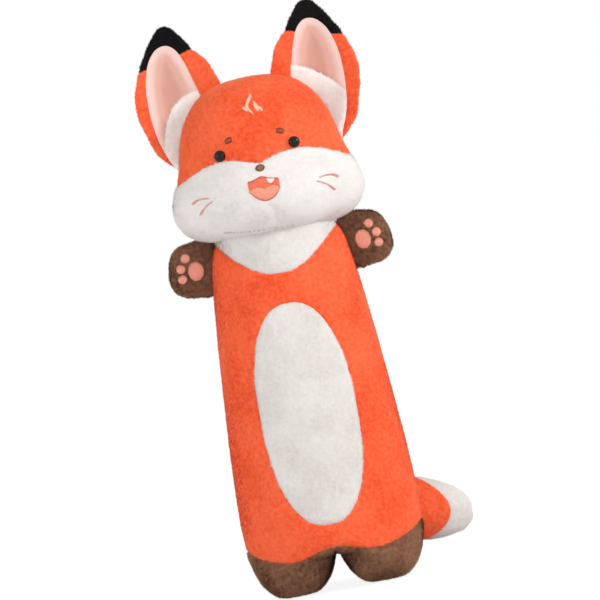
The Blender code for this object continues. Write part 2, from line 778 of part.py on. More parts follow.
def make_embroidery(cage):
    """The stitched shapes of the face, each lying on the cloth."""
    lower = smoothed("thread_back", cage, GAP)
    upper = smoothed("thread_front", cage, GAP + THREAD)
    layer = difference("thread_layer", upper, lower)
    far = HEAD_WIDTH
    made = []

    def stitched(name, outline, finish, smooth=False, kept=(), cut=()):
        shape = prism(f"{name}_shape", outline, -far, 0, smooth)
        made.append(piece(name, layer, finish, kept=[shape, *kept], cut=cut))

    nose = oval(NOSE_WIDTH, NOSE_HEIGHT, (0, head_level(NOSE_LEVEL_SHARE)), SMALL_OVAL_POINTS)
    stitched("nose", nose, "brown thread")

    level = head_level(MOUTH_LEVEL_SHARE)
    mouth = [(MOUTH_WIDTH * x, level + MOUTH_HEIGHT * z) for x, z in MOUTH_SHARES]
    rise = [(MOUTH_WIDTH * x, level + MOUTH_HEIGHT * z) for x, z in TONGUE_SHARES]
    under = [(MOUTH_WIDTH, level - MOUTH_HEIGHT), (-MOUTH_WIDTH, level - MOUTH_HEIGHT)]
    tongue = prism("tongue_region", rise + under, -far, 0)
    tongue_hole = prism("tongue_hole", [(x, z + 2 * GAP) for x, z in rise] + under, -far, 0)
    middle = (MOUTH_WIDTH * FANG_PLACE_SHARES[0], level + MOUTH_HEIGHT * FANG_PLACE_SHARES[1])
    fang, fang_hole = (
        [(middle[0] + (FANG_WIDTH + grow) * x, middle[1] + (FANG_HEIGHT + grow) * z) for x, z in FANG_SHARES]
        for grow in (0, FANG_GAP)
    )
    fang_cut = prism("fang_hole", fang_hole, -far, 0)
    stitched("mouth_roof", mouth, "coral thread", smooth=True, cut=[tongue_hole, fang_cut])
    stitched("tongue", mouth, "pink thread", smooth=True, kept=[tongue], cut=[fang_cut])
    stitched("fang", fang, "white thread")

    for side, word in SIDES:
        for place, line, which in zip(WHISKER_PLACE_SHARES, WHISKER_SHARES, ("upper", "lower")):
            across, height = HEAD_WIDTH / 2 * place[0], head_level(place[1])
            points = [(side * (across + WHISKER_LENGTH * x), height + WHISKER_LENGTH * z) for x, z in line]
            stitched(f"{word}_{which}_whisker", stroke(points, WHISKER_WIDTH), "rose thread")
        across, height = HEAD_WIDTH / 2 * BROW_PLACE_SHARES[0], head_level(BROW_PLACE_SHARES[1])
        points = [(side * (across + BROW_LENGTH * x), height + BROW_LENGTH * z) for x, z in BROW_SHARES]
        stitched(f"{word}_brow", stroke(points, BROW_WIDTH), "dark thread")

    level = head_level(MARK_LEVEL_SHARE)
    for line, which in zip(MARK_SHARES, ("middle", "right", "left")):
        points = [(MARK_WIDTH * x, level + MARK_HEIGHT * z) for x, z in line]
        stitched(f"forehead_mark_{which}", stroke(points, MARK_STROKE), "peach thread")
    return made


def muzzle_outline(rise):
    """The region of the white lower face, under the line where it meets orange, raised by rise."""
    half = HEAD_WIDTH / 2
    right = [(half * x, head_level(z) + rise) for x, z in MUZZLE_LINE_SHARES]
    low = BODY_HEIGHT - OVERRUN
    corners = [(-right[-1][0], low), (right[-1][0], low)]
    return corners + right[:0:-1] + [right[0]] + [(-x, z) for x, z in right[1:]]


def make_head():
    """The head's covers, filling, eyes and embroidery. Returns its plain outer form and its pieces."""
    cage = head_cage()
    form = smoothed("head_form", cage, 0)
    outer = difference("head_outside", form, neck_ball("neck_socket", NECK_CLEARANCE, NECK_TURNS))
    socket_inside = neck_ball("neck_socket_inside", NECK_CLEARANCE + CLOTH, HIDDEN_NECK_TURNS)
    inner = difference("head_inside", smoothed("head_inside_form", cage, -CLOTH, plain=True), socket_inside)
    socket_fill = neck_ball("neck_socket_fill", NECK_CLEARANCE + CLOTH + GAP, HIDDEN_NECK_TURNS)
    fill = difference("head_fill", smoothed("head_fill_form", cage, -CLOTH - GAP, plain=True), socket_fill)
    skin = difference("head_skin", outer, inner)

    far = HEAD_WIDTH
    top = head_level(1) + OVERRUN
    front = box("face_half", (-far, -far, 0), (far, -GAP / 2, top))
    back = box("head_back_half", (-far, GAP / 2, 0), (far, far, top))
    muzzle = prism("muzzle_shape", muzzle_outline(0), -far, 0)
    muzzle_hole = prism("muzzle_hole", muzzle_outline(2 * GAP), -far, 0)

    pieces, rooms = make_eyes(form)
    pieces.append(piece("forehead_panel", skin, "orange plush", kept=[front], cut=[muzzle_hole, *rooms]))
    pieces.append(piece("muzzle_panel", skin, "white plush", kept=[front, muzzle], cut=rooms))
    pieces.append(piece("head_back_panel", skin, "orange plush", kept=[back]))
    pieces.append(piece("head_stuffing", fill, "filling", cut=rooms))
    return form, pieces + make_embroidery(cage)


# Ears


def ear_mesh(side):
    """One ear's smooth form: a leaf whose edges curl forward."""
    spread = rounding(LIMB_POINTS)
    base = head_level(EAR_LOW_SHARE)

    def on_ear(section, angle):
        height, wide, thick, cup = section
        across = EAR_SPREAD + EAR_WIDTH / 2 * wide * spread * math.cos(angle)
        bend = EAR_CUP * cup * (CURL_MIDDLE_SHARE - math.cos(angle) ** 2)
        along = EAR_THICKNESS / 2 * thick * spread * math.sin(angle) + bend
        return Vector((side * across, along, base + EAR_HEIGHT * height))

    return limb("ear_cage", EAR_SHARES, on_ear)


def make_ear(head, side, word):
    """One ear: orange back, black tip and pale lining."""
    form = smoothed(f"{word}_ear_form", ear_mesh(side), 0)
    bottom, top = (head_level(share) for share in EAR_BASE_SHARES)
    point, axis, _ = seam_line(head, side, bottom, top, GAP + SLOT)
    base = head_level(EAR_LOW_SHARE)
    far = HEAD_WIDTH

    def lining(grow):
        half = EAR_WIDTH / 2
        return [
            (side * (EAR_SPREAD + (half + grow) * x), base + EAR_HEIGHT * z + grow * (z - 1 / 2) * 2)
            for x, z in LINING_SHARES
        ]

    def front_of(name, depth):
        """What lies before the form's front face moved back by depth."""
        behind = cutter(name + "_behind", form.data.copy())
        behind.data.transform(Matrix.Translation((0, depth, -GAP)))
        return behind

    shape = prism(f"{word}_lining_shape", lining(0), -far, far, smooth=True)
    hole = prism(f"{word}_lining_hole", lining(2 * GAP), -far, far, smooth=True)
    pocket = difference(f"{word}_lining_pocket", hole, front_of(f"{word}_pocket", LINING_DEPTH + GAP))
    behind = front_of(f"{word}_lining", LINING_DEPTH)
    inner, outer = (base + EAR_HEIGHT * share for share in TIP_LINE_SHARES)
    near, wide = side * (EAR_SPREAD - EAR_WIDTH / 2), side * (EAR_SPREAD + EAR_WIDTH / 2)
    run = side * EAR_WIDTH

    def above(rise):
        slope = outer - inner
        top = base + EAR_HEIGHT + OVERRUN
        line = [(near - run, inner - slope + rise), (wide + run, outer + slope + rise)]
        return line + [(wide + run, top), (near - run, top)]

    tip = prism(f"{word}_tip_region", above(GAP), -far, far)
    tip_hole = prism(f"{word}_tip_hole", above(-GAP), -far, far)
    seat = swept(f"{word}_ear_seat", seat_form(head), point, axis, -EAR_FOLD_LIMIT, EAR_FOLD_LIMIT)
    pieces = [
        piece(f"{word}_ear_back", form, "orange plush", cut=[pocket, tip_hole, seat]),
        piece(f"{word}_ear_tip", form, "black plush", kept=[tip], cut=[pocket]),
        piece(f"{word}_ear_lining", form, "ear lining", kept=[shape], cut=[behind, seat]),
    ]
    return hinge(f"{word}_ear_hinge", point, axis, pieces)


def seat_form(form):
    """A form grown by the clearance of what is sewn to it."""
    made = cutter(form.name + "_seat", form.data.copy())
    grow = made.modifiers.new("grow", "DISPLACE")
    grow.mid_level = 0
    grow.strength = GAP
    return settled(made)


# Arms


def limb(name, sections, place):
    """A cage through limb sections."""
    cage, face, tags = started(LIMB_POINTS, sections[0], place)
    walked(cage, face, tags, sections[1:], place)
    return ended(cage, name)


def drawn_in(sections, size, wall, least):
    """Limb sections with their walls moved in, but never thinner than the slot left at the pinched seam."""
    length, high, deep = size
    last = sections[-1][0] - wall / length

    def narrowed(share, full):
        return max(share - 2 * wall / full, 2 * least / full)

    return [
        (min(along, last), narrowed(tall, high), narrowed(thick, deep))
        for along, tall, thick in sections
    ]


def hollow_and_fill(name, sections, size, place):
    """The hollow in a limb's cover, and the filling that lies in it."""
    hollow = drawn_in(sections, size, CLOTH, SLOT)
    fill = drawn_in(sections, size, CLOTH + GAP, SLOT - GAP)
    return (
        smoothed(f"{name}_inside", limb(f"{name}_inside_cage", hollow, place), 0, plain=True),
        smoothed(f"{name}_fill", limb(f"{name}_fill_cage", fill, place), 0, plain=True),
    )


def make_arm(body, side, word):
    """One arm: brown cover with its filling, a palm pad and three toe pads."""
    reach = ARM_HEIGHT * ARM_SEAM_SHARE
    point, axis, outward = seam_line(body, side, ARM_LEVEL - reach, ARM_LEVEL + reach, GAP)
    spread = rounding(LIMB_POINTS)

    def on_arm(section, angle):
        reach, high, deep = section
        up = axis * (ARM_HEIGHT / 2 * high * spread * math.cos(angle))
        along = ALONG_Y * (ARM_DEPTH / 2 * deep * spread * math.sin(angle))
        return point + outward * (ARM_LENGTH * reach) + up + along

    cage = limb(f"{word}_arm_cage", ARM_SHARES, on_arm)
    form = smoothed(f"{word}_arm_form", cage, 0)
    size = (ARM_LENGTH, ARM_HEIGHT, ARM_DEPTH)
    inside, fill = hollow_and_fill(f"{word}_arm", ARM_SHARES, size, on_arm)
    skin = difference(f"{word}_arm_skin", form, inside)
    seats = behind_seam(f"{word}_arm_seat", point, axis, outward, -ARM_SWING_LIMIT, ARM_SWING_LIMIT)
    pieces = [
        piece(f"{word}_arm_cover", skin, "brown plush", cut=seats),
        piece(f"{word}_arm_stuffing", fill, "filling", cut=seats),
    ]

    layer = difference(
        f"{word}_pad_layer",
        smoothed(f"{word}_pad_front", cage, GAP + THREAD),
        smoothed(f"{word}_pad_back", cage, GAP),
    )
    places = [(PALM_WIDTH, PALM_HEIGHT, PALM_PLACE_SHARES, "palm_pad")]
    names = ("upper_toe_pad", "middle_toe_pad", "lower_toe_pad")
    places += [(TOE_DIAMETER, TOE_DIAMETER, share, name) for share, name in zip(TOE_PLACE_SHARES, names)]
    for wide, high, share, name in places:
        centre = point + outward * (ARM_LENGTH * share[0]) + axis * (ARM_HEIGHT * share[1])
        outline = oval(wide, high, (centre.x, centre.z), SMALL_OVAL_POINTS)
        shape = prism(f"{word}_{name}_shape", outline, -BODY_WIDTH, 0)
        pieces.append(piece(f"{word}_{name}", layer, "pad plush", kept=[shape]))
    return hinge(f"{word}_arm_hinge", point, axis, pieces)


# Tail


def make_tail(body):
    """The tail: orange base cover and white tip cover over its filling."""
    point = met(body, (0, BODY_WIDTH, TAIL_LEVEL), -ALONG_Y)[0] + ALONG_Y * GAP
    heading = Vector((math.cos(TAIL_HEADING), math.sin(TAIL_HEADING), 0))
    aside = Vector((-heading.y, heading.x, 0))
    up = Vector((0, 0, 1))
    spread = rounding(LIMB_POINTS)

    def on_tail(section, angle):
        along, high, deep = section
        middle = point + heading * (TAIL_LENGTH * along) - up * (TAIL_DROP * along)
        rise = up * (TAIL_HEIGHT / 2 * high * spread * math.cos(angle))
        return middle + rise + aside * (TAIL_DEPTH / 2 * deep * spread * math.sin(angle))

    cage = limb("tail_cage", TAIL_SHARES, on_tail)
    form = smoothed("tail_form", cage, 0)
    inside, fill = hollow_and_fill("tail", TAIL_SHARES, (TAIL_LENGTH, TAIL_HEIGHT, TAIL_DEPTH), on_tail)
    skin = difference("tail_skin", form, inside)
    seats = behind_seam("tail_seat", point, up, ALONG_Y, TAIL_IN_LIMIT, TAIL_OUT_LIMIT)

    far = TAIL_LENGTH
    line = TAIL_LENGTH * TAIL_WHITE_SHARE
    frame = Matrix.Translation(point) @ Matrix.Rotation(TAIL_HEADING, 4, "Z")
    white = box("tail_white_half", (line + GAP / 2, -far, -far), (2 * far, far, far))
    orange = box("tail_orange_half", (-far, -far, -far), (line - GAP / 2, far, far))
    for half in (white, orange):
        half.data.transform(frame)
    pieces = [
        piece("tail_base_cover", skin, "orange plush", kept=[orange], cut=seats),
        piece("tail_tip_cover", skin, "white plush", kept=[white]),
        piece("tail_stuffing", fill, "filling", cut=seats),
    ]
    return hinge("tail_hinge", point, up, pieces)


def stood_at_origin():
    """Moves the toy so that the origin lies on the floor under the middle of its whole box."""
    bpy.context.view_layer.update()
    solids = [part for part in PARTS.objects if part.type == "MESH"]
    corners = [part.matrix_world @ corner.co for part in solids for corner in part.data.vertices]
    across, along = (sorted(corner[axis] for corner in corners) for axis in (0, 1))
    shift = Vector((across[0] + across[-1], along[0] + along[-1], 0)) / 2
    for top in PARTS.objects:
        if top.parent is None:
            top.location -= shift
    bpy.context.view_layer.update()


def make_fox():
    """The whole toy. The ears ride on the head."""
    body = make_body()
    head, head_pieces = make_head()
    neck = hinge("neck_hinge", Vector((0, 0, BODY_HEIGHT - NECK_DROP)), Vector((1, 0, 0)), head_pieces)
    for side, word in SIDES:
        ear = make_ear(head, side, word)
        ear.parent = neck
        ear.matrix_parent_inverse = neck.matrix_world.inverted()
        make_arm(body, side, word)
    make_tail(body)
    stood_at_origin()


make_fox()
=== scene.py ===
"""The looks of a long stuffed fox: plush covers with their pile, satin ear linings, embroidery, shiny eyes.
Metres, +Z up, face toward -Y, the toy's left at +X. Outlines are drawn as seen from the front, through
(X, Z) points in millimetres from the toy's own middle."""

import json
import math

import bmesh
import bpy
import numpy as np
from mathutils import Matrix, Vector
from mathutils.bvhtree import BVHTree
from mathutils.kdtree import KDTree


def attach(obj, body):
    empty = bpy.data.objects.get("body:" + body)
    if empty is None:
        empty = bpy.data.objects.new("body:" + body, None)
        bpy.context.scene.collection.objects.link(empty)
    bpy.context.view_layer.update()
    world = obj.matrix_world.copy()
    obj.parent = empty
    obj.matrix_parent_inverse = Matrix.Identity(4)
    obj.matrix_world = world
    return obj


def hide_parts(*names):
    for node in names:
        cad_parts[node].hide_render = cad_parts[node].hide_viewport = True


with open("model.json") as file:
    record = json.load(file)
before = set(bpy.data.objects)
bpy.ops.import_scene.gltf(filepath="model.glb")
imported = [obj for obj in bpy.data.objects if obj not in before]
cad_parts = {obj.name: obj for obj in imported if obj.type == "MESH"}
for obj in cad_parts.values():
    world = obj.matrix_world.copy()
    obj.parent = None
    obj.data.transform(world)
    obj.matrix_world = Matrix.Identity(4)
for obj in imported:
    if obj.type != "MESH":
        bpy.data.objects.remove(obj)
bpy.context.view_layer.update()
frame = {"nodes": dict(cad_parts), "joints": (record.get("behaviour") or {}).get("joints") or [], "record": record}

MM = 0.001
LEFT, RIGHT = 1, -1
SIDES = ((LEFT, "left"), (RIGHT, "right"))
JOINTS = {joint["name"]: joint for joint in frame["joints"]}
NECK = JOINTS["neck_nod"]
MIDDLE = Vector((NECK["pos_m"][0], NECK["pos_m"][1], 0))

# Soft forms: remeshing grain, how far filling may press a cover out, where it is held, the seams' valleys
BODY_GRAIN, LIMB_GRAIN, EAR_GRAIN = 5.0 * MM, 3.6 * MM, 2.3 * MM
BODY_RELAX, EAR_RELAX, ARM_RELAX, TAIL_RELAX = 8, 10, 4, 6
BODY_PUFF, LIMB_PUFF = 2.6 * MM, 1.2 * MM
FINE_SHARE = 0.36
FINE_RELAX = 30
FILLING_FRAMES = 20
FILLING = dict(
    quality=4, mass=0.3, tension_stiffness=12, compression_stiffness=12, bending_stiffness=0.6,
    use_pressure=True, uniform_pressure_force=4.0,
)
NECK_HELD_UP, NECK_HELD_ASIDE = 30 * MM, 90 * MM
ARM_HELD = 92 * MM
TAIL_HELD = 12 * MM
SEAM_DEPTH, LIMB_SEAM_DEPTH, EAR_SEAM_DEPTH = 1.8 * MM, 1.6 * MM, 1.0 * MM
SEAM_REACH = 7.0 * MM
CLOTH_THICKNESS = 1.0 * MM
SEAM_SAMPLE = 1.5 * MM
SNAP_SHARE = 0.25
MERGING = 0.01 * MM
ON_LINE = 1e-6

# Pile: short sheared fibres that lie down along the nap
SHORT_PILE = dict(length=2.9 * MM, width=0.50 * MM, density=2.0e6, lean=1.02, clump=4.0 * MM, swirl=0.45)
WHITE_PILE = dict(length=4.3 * MM, width=0.50 * MM, density=2.0e6, lean=1.10, clump=5.0 * MM, swirl=0.75)
BROWN_PILE = dict(length=4.4 * MM, width=0.60 * MM, density=1.8e6, lean=0.88, clump=5.0 * MM, swirl=0.95)
FLUFF_PILE = dict(length=4.6 * MM, width=0.50 * MM, density=2.1e6, lean=1.08, clump=4.0 * MM, swirl=0.45)
CLUMP_TURN, CLUMP_TILT, CLUMP_TALL = 0.25, 0.06, 0.06
FIBRE_TURN, FIBRE_TILT, FIBRE_ROLL = 0.30, 0.14, 0.35
FIBRE_LENGTHS = 0.75, 1.2
SWIRL_SIZE = 0.06
ROOT_SINK = 0.3 * MM
LOWEST_TIP = 0.3 * MM
FACE_SHARE = 0.20
CLUMPING = 0.14
CLUMP_HEART = 0.55
DOWN = np.array((0.0, 0.0, -1.0))
SEEDS = dict(torso=100, head=200, left_ear=300, right_ear=320, left_arm=400, right_arm=410, tail=500)

# Plush finishes: the size of wide and small blots, where each fades, and the weave's relief
WIDE_BLOT, WIDE_FADE = 55 * MM, (0.30, 0.72)
SMALL_BLOT, SMALL_FADE = 4.5 * MM, (0.28, 0.70)
SMALL_SHARE = 0.65
PLUSH_ROUGHNESS, ROUGHNESS_DRIFT, ROUGHNESS_BLOT = 0.80, 0.16, 9 * MM
PILE_ROUGHNESS = 0.85
PLUSH_SHEEN = dict(Sheen_Roughness=0.45, Specular_IOR_Level=0.15)
WEAVE_SIZE, WEAVE_DEPTH, WEAVE_STRENGTH, WEAVE_STRETCH = 2.2 * MM, 0.8 * MM, 0.5, (1, 1, 1.6)


# Shader building


class Value:
    """A number that varies over a surface. Arithmetic on it adds Math nodes."""

    def __init__(self, nodes, socket):
        self.nodes = nodes
        self.socket = socket

    def __add__(self, other):
        return self.nodes.maths("ADD", self, other)

    def __sub__(self, other):
        return self.nodes.maths("SUBTRACT", self, other)

    def __rsub__(self, other):
        return self.nodes.maths("SUBTRACT", other, self)

    def __mul__(self, other):
        return self.nodes.maths("MULTIPLY", self, other)

    __radd__ = __add__
    __rmul__ = __mul__


class Nodes:
    """A node tree of a material or of the surroundings."""

    def __init__(self, tree):
        self.tree = tree

    def node(self, kind, settings=None, inputs=None):
        """A node with its settings, then the values or links of its sockets."""
        made = self.tree.nodes.new(kind)
        for name, value in (settings or {}).items():
            setattr(made, name, value)
        for name, value in (inputs or {}).items():
            self.feed(made.inputs[name], value)
        return made

    def feed(self, socket, value):
        """Sets a socket to a value, or links it to what varies."""
        value = value.socket if isinstance(value, Value) else value
        if isinstance(value, bpy.types.NodeSocket):
            self.tree.links.new(value, socket)
        else:
            socket.default_value = value

    def maths(self, operation, first, second):
        """One Math node on two numbers."""
        made = self.node("ShaderNodeMath", {"operation": operation}, {0: first, 1: second})
        return Value(self, made.outputs[0])


class Finish(Nodes):
    """A material and the nodes behind its Principled shader."""

    def __init__(self, name, **constants):
        self.material = bpy.data.materials.new(name)
        self.material.use_nodes = True
        super().__init__(self.material.node_tree)
        self.shader = self.tree.nodes["Principled BSDF"]
        for socket, value in constants.items():
            self.shader.inputs[socket.replace("_", " ")].default_value = value
        self.place = self.node("ShaderNodeTexCoord").outputs["Object"]

    def noise(self, size, detail=2.0, stretch=(1, 1, 1)):
        """Soft noise from 0 to 1 whose blots are about that size."""
        scale = [1 / (size * part) for part in stretch]
        placed = self.node("ShaderNodeMapping", None, {"Vector": self.place, "Scale": scale}).outputs[0]
        made = self.node("ShaderNodeTexNoise", None, {"Vector": placed, "Scale": 1.0, "Detail": detail})
        return Value(self, made.outputs["Fac"])

    def eased(self, value, low, high):
        """0 below low, 1 above high, and smooth between them."""
        limits = {"Value": value, "From Min": low, "From Max": high}
        made = self.node("ShaderNodeMapRange", {"interpolation_type": "SMOOTHSTEP"}, limits)
        return Value(self, made.outputs[0])

    def mixed(self, share, first, second):
        """A colour between two."""
        made = self.node("ShaderNodeMix", {"data_type": "RGBA"}, {"Factor": share, 6: first, 7: second})
        return made.outputs[2]

    def colour(self, value):
        self.feed(self.shader.inputs["Base Color"], value)

    def roughness(self, value):
        self.feed(self.shader.inputs["Roughness"], value)

    def bump(self, height, depth, strength=1.0):
        """Relief of that real depth."""
        made = self.node("ShaderNodeBump", None, {"Height": height, "Distance": depth, "Strength": strength})
        self.feed(self.shader.inputs["Normal"], made.outputs[0])


def linear(code):
    """A colour written as six hex digits, as a linear colour."""
    parts = [int(code[k : k + 2], 16) / 255 for k in (0, 2, 4)]
    return (*[part / 12.92 if part <= 0.04045 else ((part + 0.055) / 1.055) ** 2.4 for part in parts], 1)


def plush(name, dark, base, light, tint, sheen, contrast=1.0):
    """Plush in that colour, as its (cloth, pile): both drift in wide and in small blots and have a sheen."""
    made = []
    for piece in ("cloth", "pile"):
        finish = Finish(f"{name}_{piece}", Sheen_Weight=sheen, **PLUSH_SHEEN)
        finish.shader.inputs["Sheen Tint"].default_value = linear(tint)
        wide = finish.eased(finish.noise(WIDE_BLOT), *WIDE_FADE)
        small = finish.eased(finish.noise(SMALL_BLOT, 3.0), *SMALL_FADE)
        deep = finish.mixed(wide, linear(dark), linear(base))
        blots = small * SMALL_SHARE + wide * (1 - SMALL_SHARE)
        finish.colour(finish.mixed(blots * contrast, deep, linear(light)))
        if piece == "cloth":
            finish.roughness(finish.noise(ROUGHNESS_BLOT) * ROUGHNESS_DRIFT + PLUSH_ROUGHNESS)
            finish.bump(finish.noise(WEAVE_SIZE, 3.0, WEAVE_STRETCH), WEAVE_DEPTH, WEAVE_STRENGTH)
        else:
            finish.shader.inputs["Roughness"].default_value = PILE_ROUGHNESS
        made.append(finish.material)
    return made


ORANGE = plush("orange_plush", "EE5126", "F65E33", "FE7C50", "FFBC98", 0.65)
WHITE = plush("white_plush", "E0DAD5", "E8E3DF", "F0EDEA", "FFFFFF", 0.5, 0.8)
# A lighter copy of the white plush for the muzzle: painted light, standing in for the extra light that falls on
# the face
FACE_WHITE_PAINTED_LIGHT = plush("face_white_plush_painted_light", "E9E3DF", "EFEAE7", "F6F3F1", "FFFFFF", 0.5, 0.8)
BROWN = plush("brown_plush", "523220", "724A34", "A0745A", "C09878", 0.5)
BLACK = plush("black_plush", "080707", "0E0C0C", "1A1615", "4A4442", 0.15)
EAR_WHITE = plush("ear_white_plush", "F4E9E4", "FAF1ED", "FEF9F6", "FFFFFF", 0.6)

# Furs: the pile's build, the (cloth, pile) finish and the slot
ORANGE_FUR = (SHORT_PILE, ORANGE, "orange_plush")
WHITE_FUR = (WHITE_PILE, WHITE, "white_plush")
FACE_FUR_PAINTED_LIGHT = (WHITE_PILE, FACE_WHITE_PAINTED_LIGHT, "white_plush")
BROWN_FUR = (BROWN_PILE, BROWN, "brown_plush")
BLACK_FUR = (SHORT_PILE, BLACK, "black_plush")
EAR_FUR = (FLUFF_PILE, EAR_WHITE, "ear_lining")


# Working with objects


def deselected():
    """Leaves nothing selected."""
    bpy.ops.object.select_all(action="DESELECT")


def made_object(name, data):
    """A new object in the scene."""
    made = bpy.data.objects.new(name, data)
    bpy.context.scene.collection.objects.link(made)
    return made


def modified(worked, kind, **settings):
    """Applies one modifier to an object."""
    step = worked.modifiers.new(kind.lower(), kind)
    for name, value in settings.items():
        setattr(step, name, value)
    deselected()
    worked.select_set(True)
    bpy.context.view_layer.objects.active = worked
    bpy.ops.object.modifier_apply(modifier=step.name)


def rows_of(items, name, kind=float):
    """Three numbers of every item, as an array."""
    found = np.empty(len(items) * 3, kind)
    items.foreach_get(name, found)
    return found.reshape(-1, 3)


def corners_of(mesh):
    return rows_of(mesh.vertices, "co")


def normals_of(mesh):
    return rows_of(mesh.vertex_normals, "vector")


def move_corners(mesh, places):
    mesh.vertices.foreach_set("co", np.asarray(places, np.float32).ravel())
    mesh.update()


def from_middle(places):
    """Places measured from the toy's own middle."""
    return np.asarray(places) - np.array(MIDDLE)


def unit(vectors):
    return vectors / np.maximum(np.linalg.norm(vectors, axis=-1, keepdims=True), 1e-12)


def tree_of(places):
    """A search tree over those places."""
    tree = KDTree(len(places))
    for index, place in enumerate(places):
        tree.insert(place, index)
    tree.balance()
    return tree


def eased(share):
    """0 to 1, smooth at both ends."""
    share = np.clip(share, 0, 1)
    return share * share * (3 - 2 * share)


# Outlines and seams


def smooth_line(points, closed=False, steps=6):
    """A dense line that runs smoothly through points given in millimetres."""
    p = np.array(points, float) * MM
    p = np.vstack([p[-1:], p, p[:2]]) if closed else np.vstack([p[:1], p, p[-1:]])
    t = np.linspace(0, 1, steps, endpoint=False)[:, None]
    runs = [
        b + (c - a) * t / 2 + (a - 2.5 * b + 2 * c - d / 2) * t**2 + (1.5 * (b - c) + (d - a) / 2) * t**3
        for a, b, c, d in zip(p, p[1:], p[2:], p[3:])
    ]
    return np.vstack(runs if closed else [*runs, p[-1:]])


def full_oval(wide, high, centre, fullness, count=72):
    """An oval whose ends are blunter than an ellipse's, which has a fullness of 2."""
    turn = np.linspace(0, math.tau, count, endpoint=False)
    across, up = (np.sign(part) * np.abs(part) ** (2 / fullness) for part in (np.cos(turn), np.sin(turn)))
    return np.stack([centre[0] + wide / 2 * across, centre[1] + high / 2 * up], 1)


def off_run(at, start, end):
    """The distance from each place to one straight run of a line."""
    run = end - start
    along = np.clip((at - start) @ run / max(run @ run, 1e-18), 0, 1)
    return np.linalg.norm(at - start - along[:, None] * run, axis=1)


def outside(outline, places):
    """How far each place lies outside a closed outline, seen from the front. Less than zero is inside."""
    at = from_middle(places)[:, [0, 2]]
    nearest = np.full(len(at), np.inf)
    inside = np.zeros(len(at), bool)
    for start, end in zip(outline, np.roll(outline, -1, axis=0)):
        nearest = np.minimum(nearest, off_run(at, start, end))
        spans = (start[1] > at[:, 1]) != (end[1] > at[:, 1])
        wide, rise = end - start
        rise = rise if abs(rise) > 1e-15 else 1e-15
        inside ^= spans & (at[:, 0] < start[0] + wide * (at[:, 1] - start[1]) / rise)
    return np.where(inside, -nearest, nearest)


def near_line(points, places):
    """The distance from each place to an open line, seen from the front."""
    at = from_middle(places)[:, [0, 2]]
    nearest = np.full(len(at), np.inf)
    for start, end in zip(points, points[1:]):
        nearest = np.minimum(nearest, off_run(at, start, end))
    return nearest


def both_sides(half):
    """An outline whose right half mirrors the given left one, which runs from top to bottom or back."""
    half = np.asarray(half, float)
    return np.vstack([half, half[::-1] * (-1, 1)])


def cut_along(shape, field, region):
    """Cuts a bmesh's faces where the field changes sign, among the corners that the region takes in."""
    shape.verts.ensure_lookup_table()
    places = np.array([corner.co for corner in shape.verts])
    value = dict(zip(shape.verts, field(places)))
    taken = dict(zip(shape.verts, region(places)))
    crossed = []
    for edge in shape.edges:
        first, second = edge.verts
        if taken[first] and taken[second] and value[first] * value[second] < 0:
            crossed.append(edge)
    for edge in crossed:
        first, second = edge.verts
        if value[first] == 0 or value[second] == 0:
            continue
        share = value[first] / (value[first] - value[second])
        if share < SNAP_SHARE:
            first.co = first.co.lerp(second.co, share)
            value[first] = 0.0
        elif share > 1 - SNAP_SHARE:
            second.co = second.co.lerp(first.co, 1 - share)
            value[second] = 0.0
    on_seam = [corner for corner in shape.verts if value[corner] == 0 and taken[corner]]
    for edge in crossed:
        first, second = edge.verts
        if value[first] * value[second] < 0:
            share = value[first] / (value[first] - value[second])
            on_seam.append(bmesh.utils.edge_split(edge, first, share)[1])
    bmesh.ops.connect_verts(shape, verts=on_seam)


# Soft forms


def merged(nodes):
    """Those solids as one bmesh, with the corners that they share merged."""
    shape = bmesh.new()
    for node in nodes:
        shape.from_mesh(frame["nodes"][node].data)
    bmesh.ops.remove_doubles(shape, verts=shape.verts, dist=MERGING)
    return shape


def as_mesh(shape, name):
    """A finished bmesh as a mesh."""
    mesh = bpy.data.meshes.new(name)
    shape.to_mesh(mesh)
    shape.free()
    return mesh


def soft_form(name, nodes, grain, relax, trued=False):
    """One closed form of those solids together, remeshed at the grain and relaxed. A trued one is also drawn
    onto a finer, smooth copy, so that its outline runs without steps."""
    mesh = as_mesh(merged(nodes), name)
    form = made_object(name, mesh)
    fine = made_object(name + "_fine", mesh.copy())
    for target, size, rounds in ((form, grain, relax), (fine, grain * FINE_SHARE, FINE_RELAX))[: 1 + trued]:
        modified(target, "REMESH", mode="VOXEL", voxel_size=size)
        keep_outermost(target.data)
        modified(target, "SMOOTH", factor=0.5, iterations=rounds)
    if trued:
        modified(form, "SHRINKWRAP", target=fine)
        modified(form, "SMOOTH", factor=0.5, iterations=2)
    bpy.data.objects.remove(fine)
    return form


def keep_outermost(mesh):
    """Removes all but the widest closed surface, such as the rooms that small solids leave inside."""
    shape = bmesh.new()
    shape.from_mesh(mesh)
    left = set(shape.verts)
    islands = []
    while left:
        waiting = [left.pop()]
        island = list(waiting)
        while waiting:
            for edge in waiting.pop().link_edges:
                for corner in edge.verts:
                    if corner in left:
                        left.remove(corner)
                        island.append(corner)
                        waiting.append(corner)
        islands.append(island)
    widest = max(islands, key=len)
    gone = [corner for island in islands if island is not widest for corner in island]
    bmesh.ops.delete(shape, geom=gone, context="VERTS")
    shape.to_mesh(mesh)
    shape.free()


